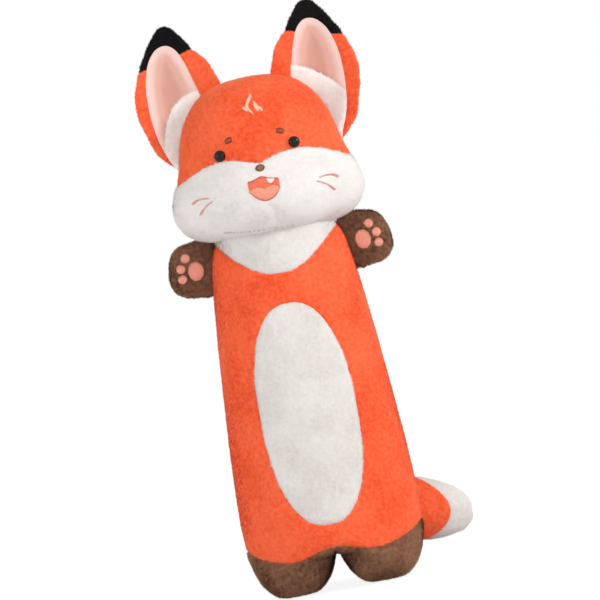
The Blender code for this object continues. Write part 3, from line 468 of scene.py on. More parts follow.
def filled(form, held, reach):
    """Presses the form out as filling does, held where it is sewn. No point moves further than reach."""
    before = corners_of(form.data)
    sewn = form.vertex_groups.new(name="sewn")
    for index in np.flatnonzero(held(before)):
        sewn.add([int(index)], 1.0, "REPLACE")
    cloth = form.modifiers.new("filling", "CLOTH")
    for name, value in FILLING.items():
        setattr(cloth.settings, name, value)
    cloth.settings.vertex_group_mass = sewn.name
    cloth.settings.effector_weights.gravity = 0
    cloth.point_cache.frame_start = 1
    cloth.point_cache.frame_end = FILLING_FRAMES
    for step in range(1, FILLING_FRAMES + 1):
        bpy.context.scene.frame_set(step)
    depsgraph = bpy.context.evaluated_depsgraph_get()
    moved = corners_of(form.evaluated_get(depsgraph).data) - before
    length = np.linalg.norm(moved, axis=1, keepdims=True)
    form.modifiers.remove(cloth)
    form.vertex_groups.clear()
    move_corners(form.data, before + moved * reach * np.tanh(length / reach) / np.maximum(length, 1e-9))


def seam_points(shape, panel):
    """Points along every edge between two panels."""
    found = []
    for edge in shape.edges:
        if len({panel[face] for face in edge.link_faces}) > 1:
            first, second = (corner.co for corner in edge.verts)
            count = max(1, round((second - first).length / SEAM_SAMPLE))
            found.extend(first.lerp(second, k / count) for k in range(count + 1))
    return found


def panelled(form, seams, panel_names, depth=SEAM_DEPTH, shaped=None):
    """Splits a form into its sewn panels, with a valley along each seam.
    seams are (field, region) pairs, and panel_names gives each face centre's panel. Returns {name: mesh}."""
    modified(form, "SUBSURF", levels=1, render_levels=1)
    if shaped:
        move_corners(form.data, shaped(corners_of(form.data), normals_of(form.data)))
    shape = bmesh.new()
    shape.from_mesh(form.data)
    for field, region in seams:
        cut_along(shape, field, region)
    faces = list(shape.faces)
    names = panel_names(np.array([face.calc_center_median() for face in faces]))
    panel = dict(zip(faces, names))
    tree = tree_of(seam_points(shape, panel))
    shape.normal_update()
    sunk = []
    for corner in shape.verts:
        distance = tree.find(corner.co)[2]
        share = max(0.0, 1 - distance / SEAM_REACH)
        sunk.append(corner.co - corner.normal * depth * share * share)
    for corner, place in zip(shape.verts, sunk):
        corner.co = place
    shape.normal_update()
    made = {}
    for name in sorted(set(names)):
        part = shape.copy()
        part.faces.ensure_lookup_table()
        gone = [face for face, own in zip(part.faces, names) if own != name]
        bmesh.ops.delete(part, geom=gone, context="FACES")
        made[name] = as_mesh(part, name)
    shape.free()
    bpy.data.objects.remove(form)
    return made


# Pile

WAVES, WAVE_SPREAD, WAVES_SUM = 6, (0.7, 1.6), 2.6


def drift(places, seed, size):
    """Smooth random numbers from -1 to 1 over space, with waves of about that size."""
    rng = np.random.default_rng(seed)
    total = np.zeros(len(places))
    for _ in range(WAVES):
        way = unit(rng.normal(size=3))
        wave = size * rng.uniform(*WAVE_SPREAD)
        total += np.sin(places @ way * math.tau / wave + rng.uniform(0, math.tau))
    return total / WAVES_SUM


def triangles_of(mesh):
    """(corner indices, areas) of the mesh's triangles."""
    mesh.calc_loop_triangles()
    found = rows_of(mesh.loop_triangles, "vertices", np.int32)
    a, b, c = (corners_of(mesh)[found[:, k]] for k in range(3))
    return found, np.linalg.norm(np.cross(b - a, c - a), axis=1) / 2


def fibres(mesh, coat, seed, nap, bare=None):
    """The pile on a mesh, one thin blade for a few fibres: its corners, shading, roots and skin normals."""
    rng = np.random.default_rng(seed)
    faces, area = triangles_of(mesh)
    count = int(area.sum() * coat["density"])
    chosen = faces[rng.choice(len(faces), count, p=area / area.sum())]
    share = rng.random((count, 2))
    share = np.where(share.sum(1, keepdims=True) > 1, 1 - share, share)
    weight = np.column_stack([1 - share.sum(1), share])[:, :, None]
    root = (corners_of(mesh)[chosen] * weight).sum(1)
    normal = unit((normals_of(mesh)[chosen] * weight).sum(1))
    if bare is not None:
        kept = ~bare(root)
        root, normal = root[kept], normal[kept]
    count = len(root)
    clumps = max(8, int(area.sum() / coat["clump"] ** 2))
    centres = tree_of(root[:clumps])
    clump = np.array([centres.find(place)[1] for place in root])
    turn = rng.normal(size=clumps) * CLUMP_TURN
    tilt = rng.normal(size=clumps) * CLUMP_TILT
    tall = 1 + rng.normal(size=clumps) * CLUMP_TALL

    way = nap(root) if callable(nap) else np.broadcast_to(nap, root.shape)
    along = unit(way - (way * normal).sum(1, keepdims=True) * normal)
    across = np.cross(normal, along)
    swirl = coat["swirl"] * drift(root, seed + 1, SWIRL_SIZE)
    angle = swirl + turn[clump] + rng.normal(size=count) * FIBRE_TURN
    lean = coat["lean"] + tilt[clump] + rng.normal(size=count) * FIBRE_TILT
    angle, lean = angle[:, None], lean[:, None]
    flat = np.cos(angle) * along + np.sin(angle) * across
    growth = np.cos(lean) * normal + np.sin(lean) * flat
    breadth = unit(np.cross(normal, growth))
    roll = rng.normal(size=(count, 1)) * FIBRE_ROLL
    breadth = np.cos(roll) * breadth + np.sin(roll) * np.cross(growth, breadth)
    length = (coat["length"] * tall[clump] * rng.uniform(*FIBRE_LENGTHS, count))[:, None]
    tip = root + growth * length
    heart = root[clump] + normal[clump] * length * CLUMP_HEART
    tip = tip + (heart - tip) * CLUMPING
    tip[:, 2] = np.maximum(tip[:, 2], LOWEST_TIP)
    base = root - normal * ROOT_SINK
    half = breadth * coat["width"] / 2
    corners = np.stack([base + half, base - half, tip], 1)
    face = unit(np.cross(corners[:, 1] - corners[:, 0], corners[:, 2] - corners[:, 0]))
    turned = (face * normal).sum(1) < 0
    face[turned] = -face[turned]
    corners[turned] = corners[turned][:, [1, 0, 2]]
    return corners, unit(face * FACE_SHARE + normal * (1 - FACE_SHARE)), root, normal


MAP_NAME = "OFBake"
MAP_MARGIN = 0.03
BLADE_ON_MAP = ((0.8 * MM, 0.0), (-0.8 * MM, 0.0), (0.0, 1.4 * MM))


def box_mapped(mesh, places, normals, shifts=0.0):
    """Maps each face corner along its face's main axis, in one of the map's six cells, one a direction."""
    low = places.min(0)
    span = np.maximum(places.max(0) - low, MM)
    axis = np.abs(normals).argmax(1)
    rows = np.arange(len(places))
    cell = np.stack([axis, normals[rows, axis] > 0], 1)
    plane = np.stack([(axis + 1) % 3, (axis + 2) % 3], 1)
    local = (np.take_along_axis(places, plane, 1) - low[plane] + shifts) / span[plane]
    spots = cell + MAP_MARGIN + np.clip(local, 0, 1) * (1 - 2 * MAP_MARGIN)
    layer = mesh.uv_layers.new(name=MAP_NAME)
    layer.uv.foreach_set("vector", (spots / (3, 2)).astype(np.float32).ravel())


def map_cloth(mesh):
    """The cloth's own map."""
    corner = np.empty(len(mesh.loops), np.int32)
    mesh.loops.foreach_get("vertex_index", corner)
    facing = np.array([face.normal for face in mesh.polygons])
    counts = np.array([face.loop_total for face in mesh.polygons])
    box_mapped(mesh, corners_of(mesh)[corner], np.repeat(facing, counts, axis=0))


def pile_object(name, mesh, coat, seed, nap, bare):
    """The pile as one object. Its fibres are too fine to cast shadows of their own."""
    corners, shading, roots, normals = fibres(mesh, coat, seed, nap, bare)
    count = len(corners)
    pile = bpy.data.meshes.new(name)
    pile.vertices.add(count * 3)
    pile.loops.add(count * 3)
    pile.polygons.add(count)
    pile.vertices.foreach_set("co", corners.astype(np.float32).ravel())
    pile.loops.foreach_set("vertex_index", np.arange(count * 3, dtype=np.int32))
    pile.polygons.foreach_set("loop_start", np.arange(count, dtype=np.int32) * 3)
    pile.update(calc_edges=True)
    pile.shade_smooth()
    pile.normals_split_custom_set(np.repeat(shading, 3, axis=0))
    shifts = np.tile(BLADE_ON_MAP, (count, 1))
    box_mapped(pile, np.repeat(roots, 3, axis=0), np.repeat(normals, 3, axis=0), shifts)
    made = made_object(name, pile)
    made.visible_shadow = False
    return made


def handed_over(piece, material, body, nodes=None):
    """Gives a piece its material, hides the CAD parts that it stands for, and attaches it to the body that it
    moves with.
    """
    piece.data.materials.append(material)
    if nodes is not None:
        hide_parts(*nodes)
    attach(piece, body)


def sewn_cloth(name, mesh):
    """A panel's cloth, with a thickness and its own map."""
    cloth = made_object(name, mesh)
    modified(cloth, "SOLIDIFY", thickness=CLOTH_THICKNESS, offset=-1)
    cloth.data.shade_smooth()
    map_cloth(cloth.data)
    return cloth


def plush_piece(name, mesh, fur, body, nodes, step, nap=DOWN, bare=None):
    """A sewn panel in one fur: its cloth, its pile, and what it stands for."""
    coat, (cloth_finish, pile_finish), slot = fur
    pile = pile_object(name + "_pile", mesh, coat, SEEDS[body] + step, nap, bare)
    handed_over(sewn_cloth(name, mesh), cloth_finish, body, nodes)
    handed_over(pile, pile_finish, body)


# Embroidery

SLOTS = {row["node"]: row["material_slot"] for row in frame["record"]["subparts"]}
THREAD_PITCH = 0.74 * MM
THREAD_RADIUS = 0.44 * MM
THIN_RADIUS = THREAD_RADIUS * 0.8
THREAD_STEP = 1.8 * MM
THREAD_SIDES = 6
THREAD_DOME = 1.1 * MM
THREAD_DIP = 0.8 * MM
EDGING_WIDTH = 1.5 * MM
EDGING_OUT = 0.2
FEWEST_STITCHES = 8
FEWEST_BENDS = 4
MOUTH_EDGING, FANG_EDGING = 0.9 * MM, 0.8 * MM
BARE_MARGIN = 0.5 * MM
DRAWN_FRONT = 0.3
AHEAD = Vector((0, 1, 0))


def drawn_outline(node):
    """The outline that a CAD piece shows from the front."""
    shape = merged([node])
    shape.normal_update()
    facing = {face for face in shape.faces if face.normal.y < -DRAWN_FRONT}
    follow = {}
    for edge in shape.edges:
        if sum(face in facing for face in edge.link_faces) == 1:
            for corner in edge.verts:
                follow.setdefault(corner, []).append(edge.other_vert(corner))
    start = min(follow, key=lambda corner: corner.co.x)
    loop, came, at = [start], start, follow[start][0]
    while at is not start:
        loop.append(at)
        came, at = at, next(corner for corner in follow[at] if corner is not came)
    found = from_middle([corner.co for corner in loop])[:, [0, 2]]
    shape.free()
    return found


def filling_threads(outline, heading):
    """Parallel threads that fill an outline, as (start, end) pairs."""
    along = np.array((math.cos(heading), math.sin(heading)))
    across = np.array((-along[1], along[0]))
    reach, rank = outline @ along, outline @ across
    found = []
    for level in np.arange(rank.min() + THREAD_PITCH / 2, rank.max(), THREAD_PITCH):
        hits = []
        for k in range(len(outline)):
            if (rank[k - 1] > level) != (rank[k] > level):
                share = (level - rank[k - 1]) / (rank[k] - rank[k - 1])
                hits.append(reach[k - 1] + (reach[k] - reach[k - 1]) * share)
        hits.sort()
        for a, b in zip(hits[::2], hits[1::2]):
            if b - a > THREAD_PITCH:
                found.append((along * a + across * level, along * b + across * level))
    return found


def edging_threads(outline, width=EDGING_WIDTH):
    """Short threads side by side all round an outline, most of their length within it."""
    closed = np.vstack([outline, outline[:1]])
    turning = np.sign((closed[:-1, 0] * closed[1:, 1] - closed[1:, 0] * closed[:-1, 1]).sum())
    travelled = np.concatenate([[0], np.cumsum(np.linalg.norm(np.diff(closed, axis=0), axis=1))])
    count = max(FEWEST_STITCHES, round(travelled[-1] / THREAD_PITCH))
    spots = np.linspace(0, travelled[-1], count, endpoint=False)
    at = np.stack([np.interp(spots, travelled, closed[:, k]) for k in (0, 1)], 1)
    run = unit(np.roll(at, -1, axis=0) - np.roll(at, 1, axis=0))
    inward = np.stack([-run[:, 1], run[:, 0]], 1) * turning * width
    return list(zip(at - inward * EDGING_OUT, at + inward * (1 - EDGING_OUT)))


def skin_tree(*meshes):
    """What rays from the front meet."""
    corners, faces = [], []
    for mesh in meshes:
        faces.extend([index + len(corners) for index in face.vertices] for face in mesh.polygons)
        corners.extend(corner.co.copy() for corner in mesh.vertices)
    return BVHTree.FromPolygons(corners, faces)


def on_skin(spot, skin):
    """(place, normal) where a front view's spot lies on the skin."""
    return skin.ray_cast(MIDDLE + Vector((spot[0], -1, spot[1])), AHEAD)[:2]


def sewn_threads(name, threads, skin, finish, slot, body, nodes=None, dome=THREAD_DOME, radius=THREAD_RADIUS):
    """Threads laid over the skin, each raised in its middle and dipping in at both ends."""
    shape = bmesh.new()
    for start, end in threads:
        count = max(FEWEST_BENDS, round(np.linalg.norm(end - start) / THREAD_STEP) + 1)
        shares = np.linspace(0, 1, count)
        ends = np.abs(2 * shares - 1)
        rises = dome * (1 - ends**4) - THREAD_DIP * ends**8
        line = [on_skin(start + (end - start) * share, skin) for share in shares]
        if any(hit is None for hit, _ in line):
            continue
        places = [hit + normal * rise for (hit, normal), rise in zip(line, rises)]
        rings = []
        turns = [math.tau * step / THREAD_SIDES for step in range(THREAD_SIDES)]
        for k, place in enumerate(places):
            run = (places[min(k + 1, count - 1)] - places[max(k - 1, 0)]).normalized()
            side = run.cross(line[k][1]).normalized()
            up = side.cross(run)
            ring = (place + (side * math.cos(t) + up * math.sin(t)) * radius for t in turns)
            rings.append([shape.verts.new(corner) for corner in ring])
        for low, high in zip(rings, rings[1:]):
            for k in range(THREAD_SIDES):
                shape.faces.new((low[k - 1], low[k], high[k], high[k - 1]))
        shape.faces.new(rings[0])
        shape.faces.new(rings[-1])
    bmesh.ops.recalc_face_normals(shape, faces=shape.faces)
    mesh = as_mesh(shape, name)
    mesh.shade_smooth()
    handed_over(made_object(name, mesh), finish, body, nodes)


def covered_by(outlines):
    """Tells which places in front lie under sewn outlines."""

    def covered(places):
        at = from_middle(places)[:, [0, 2]]
        found = np.zeros(len(places), bool)
        for outline in outlines:
            low, high = outline.min(0) - BARE_MARGIN, outline.max(0) + BARE_MARGIN
            near = np.flatnonzero(((at > low) & (at < high)).all(1) & in_front(places))
            found[near] |= outside(outline, places[near]) < BARE_MARGIN
        return found

    return covered


THREAD_BLOT, THREAD_FADE = 1.6 * MM, (0.3, 0.7)
THREAD_ROUGHNESS, THREAD_DRIFT, THREAD_DRIFT_SIZE = 0.36, 0.2, 3 * MM
STRAND_SIZE, STRAND_DEPTH, STRAND_STRENGTH, STRAND_STRETCH = 0.5 * MM, 0.12 * MM, 0.6, (3, 3, 1)


def thread(name, base, light):
    """Shiny embroidery thread."""
    made = Finish(name, Sheen_Weight=0.15, Specular_IOR_Level=0.4)
    made.colour(made.mixed(made.eased(made.noise(THREAD_BLOT), *THREAD_FADE), linear(base), linear(light)))
    made.roughness(made.noise(THREAD_DRIFT_SIZE) * THREAD_DRIFT + THREAD_ROUGHNESS)
    made.bump(made.noise(STRAND_SIZE, 2.0, STRAND_STRETCH), STRAND_DEPTH, STRAND_STRENGTH)
    return made.material


CORAL = thread("coral_thread", "EE6A4A", "F58362")
CORAL_EDGE = thread("coral_edge_thread", "D65A3C", "E27052")
PINK = thread("pink_thread", "F2977C", "F8AE96")
IVORY = thread("white_thread", "EFE3DA", "FBF5F0")
NOSE_BROWN = thread("brown_thread", "84583F", "A27659")
NOSE_EDGE = thread("brown_edge_thread", "65412E", "7A513B")
ROSE = thread("rose_thread", "DE9484", "EDB2A5")
DARK_RED = thread("dark_thread", "9A4428", "B8603E")
TAUPE = thread("taupe_thread", "A58E84", "BEA89F")
DARK_RED_EDGE = thread("dark_edge_thread", "6E2414", "8A3622")
PEACH = thread("peach_thread", "F3B89C", "FCD3BD")
PAD = thread("pad_plush", "EE9A82", "F5AF99")
PAD_EDGE = thread("pad_edge_thread", "E08A70", "EC9E86")


# Body

BELLY = full_oval(118 * MM, 270 * MM, (0, 217 * MM), 2.3)
BIB_EDGE = smooth_line([
    (0, 389), (15, 390), (34, 398.5), (51, 411.5), (63, 422), (73, 432), (79, 440), (82, 455),
    (82, 520),
])
BIB = both_sides(BIB_EDGE[::-1])
FOOT_LINE = smooth_line([
    (0, 54), (13, 53), (33, 47), (54, 44.5), (80, 49), (98, 56), (112, 63.5), (140, 66),
])
FEET = both_sides(np.vstack([FOOT_LINE, [(140 * MM, -20 * MM)]]))


def everywhere(places):
    return np.ones(len(places), bool)


def behind_by(places):
    return from_middle(places)[:, 1]


def in_front(places):
    return behind_by(places) < ON_LINE


def leftward(places):
    return from_middle(places)[:, 0]


BIB_PUFF = 10 * MM
BIB_SLOPE = 26 * MM
BIB_TOP = 466 * MM
BIB_EASING = 14 * MM
SOLE_MIDDLE = 54 * MM
SOLE_FLAT = np.array((4 * MM, 26 * MM))
SOLE_CURVE = np.array((46 * MM, 46 * MM))
SOLE_RISE = 36 * MM
SOLE_TOP = 60 * MM
SOLE_LEVEL = 1.5 * MM
SOLE_EDGE = 0.98
DART = np.array([(-50, 48), (-47, 30), (-46, 6)]) * MM
DART_DEPTH = 2.6 * MM
DART_REACH = 4.5 * MM


def rounded_soles(places):
    """Lifts the soles' edges, so that each foot rests on its middle and the feet part in between."""
    at = from_middle(places)
    spread = np.abs(np.column_stack([np.abs(at[:, 0]) - SOLE_MIDDLE, at[:, 1]])) - SOLE_FLAT
    reach = np.minimum(np.linalg.norm(np.maximum(spread, 0) / SOLE_CURVE, axis=1), SOLE_EDGE)
    rise = SOLE_RISE * (1 - np.sqrt(1 - reach**2))
    lifted = rise + at[:, 2] * (1 - rise / SOLE_TOP)
    raised = np.where(at[:, 2] < SOLE_TOP, lifted, at[:, 2])
    return np.column_stack([places[:, :2], np.maximum(raised, SOLE_LEVEL)])


def valley(line, depth, reach, places):
    """How deep the front lies in a soft valley along a line."""
    return depth * np.exp(-((near_line(line, places) / reach) ** 2)) * in_front(places)


def body_shaped(places, normals):
    """The bib stands out under the chin, the soles are round, and each foot has a dart down its front."""
    inside = eased(-outside(BIB, places) / BIB_SLOPE) * in_front(places)
    below_chin = eased((BIB_TOP - places[:, 2]) / BIB_EASING)
    moved = places + normals * (BIB_PUFF * inside * below_chin)[:, None]
    for side, _ in SIDES:
        moved -= normals * valley(DART * (side, 1), DART_DEPTH, DART_REACH, places)[:, None]
    return rounded_soles(moved)


def plush_name(panel):
    return panel.replace("_panel", "") + "_plush"


def make_body():
    """The body's six panels."""
    nodes = frame["record"]["behaviour"]["bodies"]["torso"]
    form = soft_form("body_form", nodes, BODY_GRAIN, BODY_RELAX)

    def sewn(places):
        lines = [np.abs(outside(BELLY, places)), np.abs(outside(BIB, places))]
        front = in_front(places)
        near = (np.minimum(*lines) < BODY_GRAIN) & front
        near |= np.abs(outside(FEET, places)) < BODY_GRAIN
        near |= np.abs(behind_by(places)) < BODY_GRAIN
        return near | (places[:, 2] < BODY_GRAIN)

    filled(form, sewn, BODY_PUFF)
    seams = [
        (behind_by, everywhere),
        (lambda p: outside(FEET, p), everywhere),
        (lambda p: outside(BELLY, p), in_front),
        (lambda p: outside(BIB, p), in_front),
        (leftward, lambda p: outside(FEET, p) < ON_LINE),
    ]

    def panel_names(places):
        front = in_front(places)
        names = np.where(front, "body_front_panel", "body_back_panel").astype(object)
        names[front & (outside(BELLY, places) < 0)] = "belly_patch"
        names[front & (outside(BIB, places) < 0)] = "chest_bib"
        feet = outside(FEET, places) < 0
        names[feet & (leftward(places) > 0)] = "left_foot_cover"
        names[feet & (leftward(places) <= 0)] = "right_foot_cover"
        return list(names)

    panels = panelled(form, seams, panel_names, shaped=body_shaped)
    furs = dict.fromkeys(("belly_patch", "chest_bib"), WHITE_FUR)
    furs.update(left_foot_cover=BROWN_FUR, right_foot_cover=BROWN_FUR)
    for step, (name, mesh) in enumerate(sorted(panels.items())):
        stood = [name, "body_stuffing"] if name == "body_back_panel" else [name]
        plush_piece(plush_name(name), mesh, furs.get(name, ORANGE_FUR), "torso", stood, step)


make_body()


# Head

EYE_SPREAD = 45 * MM
EYE_LEVEL = 538.3 * MM
EYE_RADIUS = 6.9 * MM
MUZZLE_LINE = smooth_line([
    (0, 521), (13, 525), (28, 529), (44, 531), (60, 529.5), (78, 524), (92, 518.5), (108, 512),
    (150, 500),
])
MUZZLE = both_sides(np.vstack([MUZZLE_LINE, [(150 * MM, 400 * MM)]]))
DIMPLE_DEPTH = 1.6 * MM
DIMPLE_REACH = 12 * MM
CHIN_FOLD = np.array([(2, 474), (5, 460), (7, 446)]) * MM
CHIN_FOLD_DEPTH = 1.6 * MM
CHIN_FOLD_REACH = 6 * MM


def pulled_in(places, normals):
    """The face's small hollows: round the eyes, where posts pull the cloth in, and the fold in the chin."""
    depth = np.zeros(len(places))
    for side, _ in SIDES:
        eye = np.array([(side * EYE_SPREAD, EYE_LEVEL), (side * EYE_SPREAD, EYE_LEVEL + MM)])
        depth += valley(eye, DIMPLE_DEPTH, DIMPLE_REACH, places)
    depth += valley(CHIN_FOLD, CHIN_FOLD_DEPTH, CHIN_FOLD_REACH, places)
    return places - normals * depth[:, None]


def make_head():
    """The head's three panels."""
    nodes = ["forehead_panel", "muzzle_panel", "head_back_panel", "head_stuffing"]
    nodes += [f"{word}_{piece}" for _, word in SIDES for piece in ("eye", "eye_washer")]
    form = soft_form("head_form", nodes, BODY_GRAIN, BODY_RELAX)

    def sewn(places):
        near = (np.abs(outside(MUZZLE, places)) < BODY_GRAIN) & in_front(places)
        near |= np.abs(behind_by(places)) < BODY_GRAIN
        low = places[:, 2] < NECK["pos_m"][2] + NECK_HELD_UP
        return near | low & (np.abs(leftward(places)) < NECK_HELD_ASIDE)

    filled(form, sewn, BODY_PUFF)
    seams = [(behind_by, everywhere), (lambda p: outside(MUZZLE, p), in_front)]

    def panel_names(places):
        names = np.where(in_front(places), "forehead_panel", "head_back_panel").astype(object)
        names[in_front(places) & (outside(MUZZLE, places) < 0)] = "muzzle_panel"
        return list(names)

    panels = panelled(form, seams, panel_names, shaped=pulled_in)
    skin = skin_tree(panels["muzzle_panel"], panels["forehead_panel"])
    drawings = face_drawings()
    bare = covered_by([outline for outline, _, _ in drawings.values()])
    for step, (name, mesh) in enumerate(sorted(panels.items())):
        # The muzzle takes the lighter copy of the white plush: painted light
        fur = FACE_FUR_PAINTED_LIGHT if name == "muzzle_panel" else ORANGE_FUR
        stood = [name, "head_stuffing"] if name == "head_back_panel" else [name]
        plush_piece(plush_name(name), mesh, fur, "head", stood, step, from_nose, bare)
    make_face_stitches(drawings, skin)
    for side, word in SIDES:
        make_eye(side, word, skin)


NOSE_PLACE = np.array((0, -70 * MM, 506 * MM))


def from_nose(places):
    """The head's nap runs away from the nose on every side."""
    return unit(from_middle(places) - NOSE_PLACE)


UPRIGHT, LEVEL = math.radians(90), 0.0
MOUTH = smooth_line([
    (-17.8, 500.3), (-13, 501.2), (-7, 503.6), (-1, 505.4), (5, 503.6), (12, 501.8), (18.2, 501),
    (18.6, 494), (17, 486), (10.5, 479), (1, 476.2), (-8, 479), (-15, 485.5), (-17.8, 493),
], closed=True, steps=4)
TONGUE = smooth_line([
    (-17, 489.5), (-12.5, 492.8), (-6.5, 494), (-2, 492.4), (0.6, 491.4), (4, 492.8), (9, 494.4),
    (14, 494), (18, 491.5), (17, 486), (10.5, 479), (1, 476.2), (-8, 479), (-15, 485.5),
], closed=True, steps=4)
FANG = smooth_line([
    (4.8, 502.6), (9, 502.2), (13.2, 501.4), (12.8, 498), (9.9, 494.9), (7, 495.6), (5.2, 498.6),
], closed=True, steps=4)
SMILE_TURN = math.radians(3.5)
SMILE_MIDDLE = np.array((0.3 * MM, 490 * MM))
SMILE_ALONG = np.array((math.cos(SMILE_TURN), -math.sin(SMILE_TURN)))
SMILE_MATRIX = np.stack([SMILE_ALONG, SMILE_ALONG[::-1] * (-1, 1)])
MOUTH, TONGUE, FANG = ((line - SMILE_MIDDLE) @ SMILE_MATRIX + SMILE_MIDDLE for line in (MOUTH, TONGUE, FANG))
BROW_PATH = ((27.4, 555.4, 4.6), (31.0, 554.8, 6.2), (35.0, 552.8, 4.6))
UPPER_WHISKER_PATH = ((66, 491.3, 1.4), (73, 492.2, 1.8), (80, 492, 2.4), (85.5, 490, 4), (88, 487, 3.2))
LOWER_WHISKER_PATH = (
    (63, 487.4, 1.4), (70, 484.2, 1.8), (76, 479.8, 2.6), (79.5, 476.2, 4), (81.5, 473, 3.2),
)
LOWER_WHISKER_TURN = 35
MARK_MIDDLE_PATH = (
    (4.8, 603.4, 3.4), (2.2, 599, 4.6), (-0.8, 594.9, 4.6), (-2.4, 591.2, 4.2), (-1.8, 587.6, 3.6),
    (1, 583.4, 3), (3.8, 580.2, 1.6),
)
MARK_RIGHT_PATH = ((-8.2, 590.6, 2.6), (-6.4, 588.8, 3.8), (-3.8, 586.6, 3.9), (-1.6, 585.0, 3.4))
MARK_LEFT = smooth_line([
    (6.4, 595.3), (9.2, 593.2), (11.1, 589.3), (14, 587.2), (15.8, 584.1), (15.2, 581.6),
    (13.6, 581.1), (12, 583.3), (9.6, 581.9), (7.4, 584), (6.2, 587.2), (5.4, 591.5),
], closed=True, steps=4)
CLOSING_LINE = smooth_line([(-57, 449), (-40, 446), (-10, 443.6), (28, 443)])
CLOSING_COUNT = 17
CLOSING_SHARE = 0.6
CLOSING_DOME, CLOSING_RADIUS = 2.2 * MM, 0.3 * MM
MARK_HEADINGS = {"middle": math.radians(20), "left": math.radians(60), "right": math.radians(140)}
UNDER_TONGUE = 2.5 * MM
OVER_MOUTH = 0.7 * MM
TONGUE_LIFT = 0.4 * MM
TONGUE_UPPER = 489 * MM


def stroke_outline(path, side):
    """The outline of a stroke given as (X, Z, width) in millimetres, mirrored for the right side."""
    line = smooth_line(path)
    run = unit(np.gradient(line[:, :2], axis=0))
    aside = np.stack([-run[:, 1], run[:, 0]], 1) * line[:, 2:] / 2
    return np.vstack([line[:, :2] + aside, (line[:, :2] - aside)[::-1]]) * (side, 1)


def face_drawings():
    """Every filled shape on the face, as {node: (outline, thread, heading)}."""
    made = {
        "mouth_roof": (MOUTH, CORAL, UPRIGHT),
        "tongue": (TONGUE, PINK, UPRIGHT),
        "fang": (FANG, IVORY, UPRIGHT),
        "nose": (drawn_outline("nose"), NOSE_BROWN, LEVEL),
    }
    for side, word in SIDES:
        made[f"{word}_brow"] = (stroke_outline(BROW_PATH, side), DARK_RED, UPRIGHT)
        made[f"{word}_upper_whisker"] = (stroke_outline(UPPER_WHISKER_PATH, side), ROSE, UPRIGHT)
        lower_heading = math.radians(90 - LOWER_WHISKER_TURN * side)
        made[f"{word}_lower_whisker"] = (stroke_outline(LOWER_WHISKER_PATH, side), ROSE, lower_heading)
    marks = {
        "middle": stroke_outline(MARK_MIDDLE_PATH, 1),
        "left": MARK_LEFT,
        "right": stroke_outline(MARK_RIGHT_PATH, 1),
    }
    for word, outline in marks.items():
        made[f"forehead_mark_{word}"] = (outline, PEACH, MARK_HEADINGS[word])
    return made


def make_face_stitches(drawings, skin):
    """The embroidered nose, mouth, brows, whiskers and forehead mark."""
    lifts = {"tongue": TONGUE_LIFT, "fang": OVER_MOUTH}
    for node, (outline, finish, heading) in drawings.items():
        threads = filling_threads(outline, heading)
        if node == "mouth_roof":
            threads = [thread for thread in threads if thread[1][1] > tongue_top(thread[1][0])]
            threads = [(np.array((end[0], tongue_top(end[0]) - UNDER_TONGUE)), end) for _, end in threads]
        dome = THREAD_DOME + lifts.get(node, 0)
        sewn_threads(f"{node}_stitches", threads, skin, finish, SLOTS[node], "head", [node], dome)
    sewn_threads("nose_edging", edging_threads(drawings["nose"][0]), skin, NOSE_EDGE, "brown_thread", "head")
    closing = dict(threads=closing_threads(), dome=CLOSING_DOME, radius=CLOSING_RADIUS)
    sewn_threads("chin_closing", skin=skin, finish=TAUPE, slot="white_plush", body="head", **closing)
    for _, word in SIDES:
        brow = edging_threads(drawings[f"{word}_brow"][0])
        sewn_threads(f"{word}_brow_edging", brow, skin, DARK_RED_EDGE, SLOTS[f"{word}_brow"], "head")
    for name, outline, width in (("mouth", MOUTH, MOUTH_EDGING), ("fang", FANG, FANG_EDGING)):
        threads = edging_threads(outline, width)
        sewn_threads(f"{name}_edging", threads, skin, CORAL_EDGE, "coral_thread", "head", radius=THIN_RADIUS)


def closing_threads():
    """The stitches that close the chin's lower edge, one after another with gaps."""
    spots = np.linspace(0, len(CLOSING_LINE) - 1, CLOSING_COUNT + 1)
    at = np.stack([np.interp(spots, np.arange(len(CLOSING_LINE)), CLOSING_LINE[:, k]) for k in (0, 1)], 1)
    return [(start, start + (end - start) * CLOSING_SHARE) for start, end in zip(at, at[1:])]


def tongue_top(x):
    """The level of the tongue's upper edge at that X."""
    upper = TONGUE[TONGUE[:, 1] > TONGUE_UPPER]
    upper = upper[np.argsort(upper[:, 0])]
    return float(np.interp(x, upper[:, 0], upper[:, 1]))


EYE_FLATNESS = 0.72
EYE_STAND = 1.0 * MM
POST_RADIUS = 2.2 * MM
POST_LENGTH = 14 * MM

EYE_GLOSS = dict(Coat_Weight=0.7, Coat_Roughness=0.03, Coat_IOR=1.3, Specular_IOR_Level=0.12)
EYE_BLOT, EYE_DARK, EYE_LIGHT = 4 * MM, "080504", "130D0A"
EYE_ROUGHNESS, EYE_DRIFT, EYE_DRIFT_SIZE = 0.07, 0.08, 3 * MM
MOULDING_SIZE, MOULDING_DEPTH, MOULDING_STRENGTH = 1.2 * MM, 0.02 * MM, 0.3

EYE_BLACK = Finish("eye_plastic", **EYE_GLOSS)
EYE_BLACK.colour(EYE_BLACK.mixed(EYE_BLACK.noise(EYE_BLOT), linear(EYE_DARK), linear(EYE_LIGHT)))
EYE_BLACK.roughness(EYE_BLACK.noise(EYE_DRIFT_SIZE) * EYE_DRIFT + EYE_ROUGHNESS)
EYE_BLACK.bump(EYE_BLACK.noise(MOULDING_SIZE), MOULDING_DEPTH, MOULDING_STRENGTH)


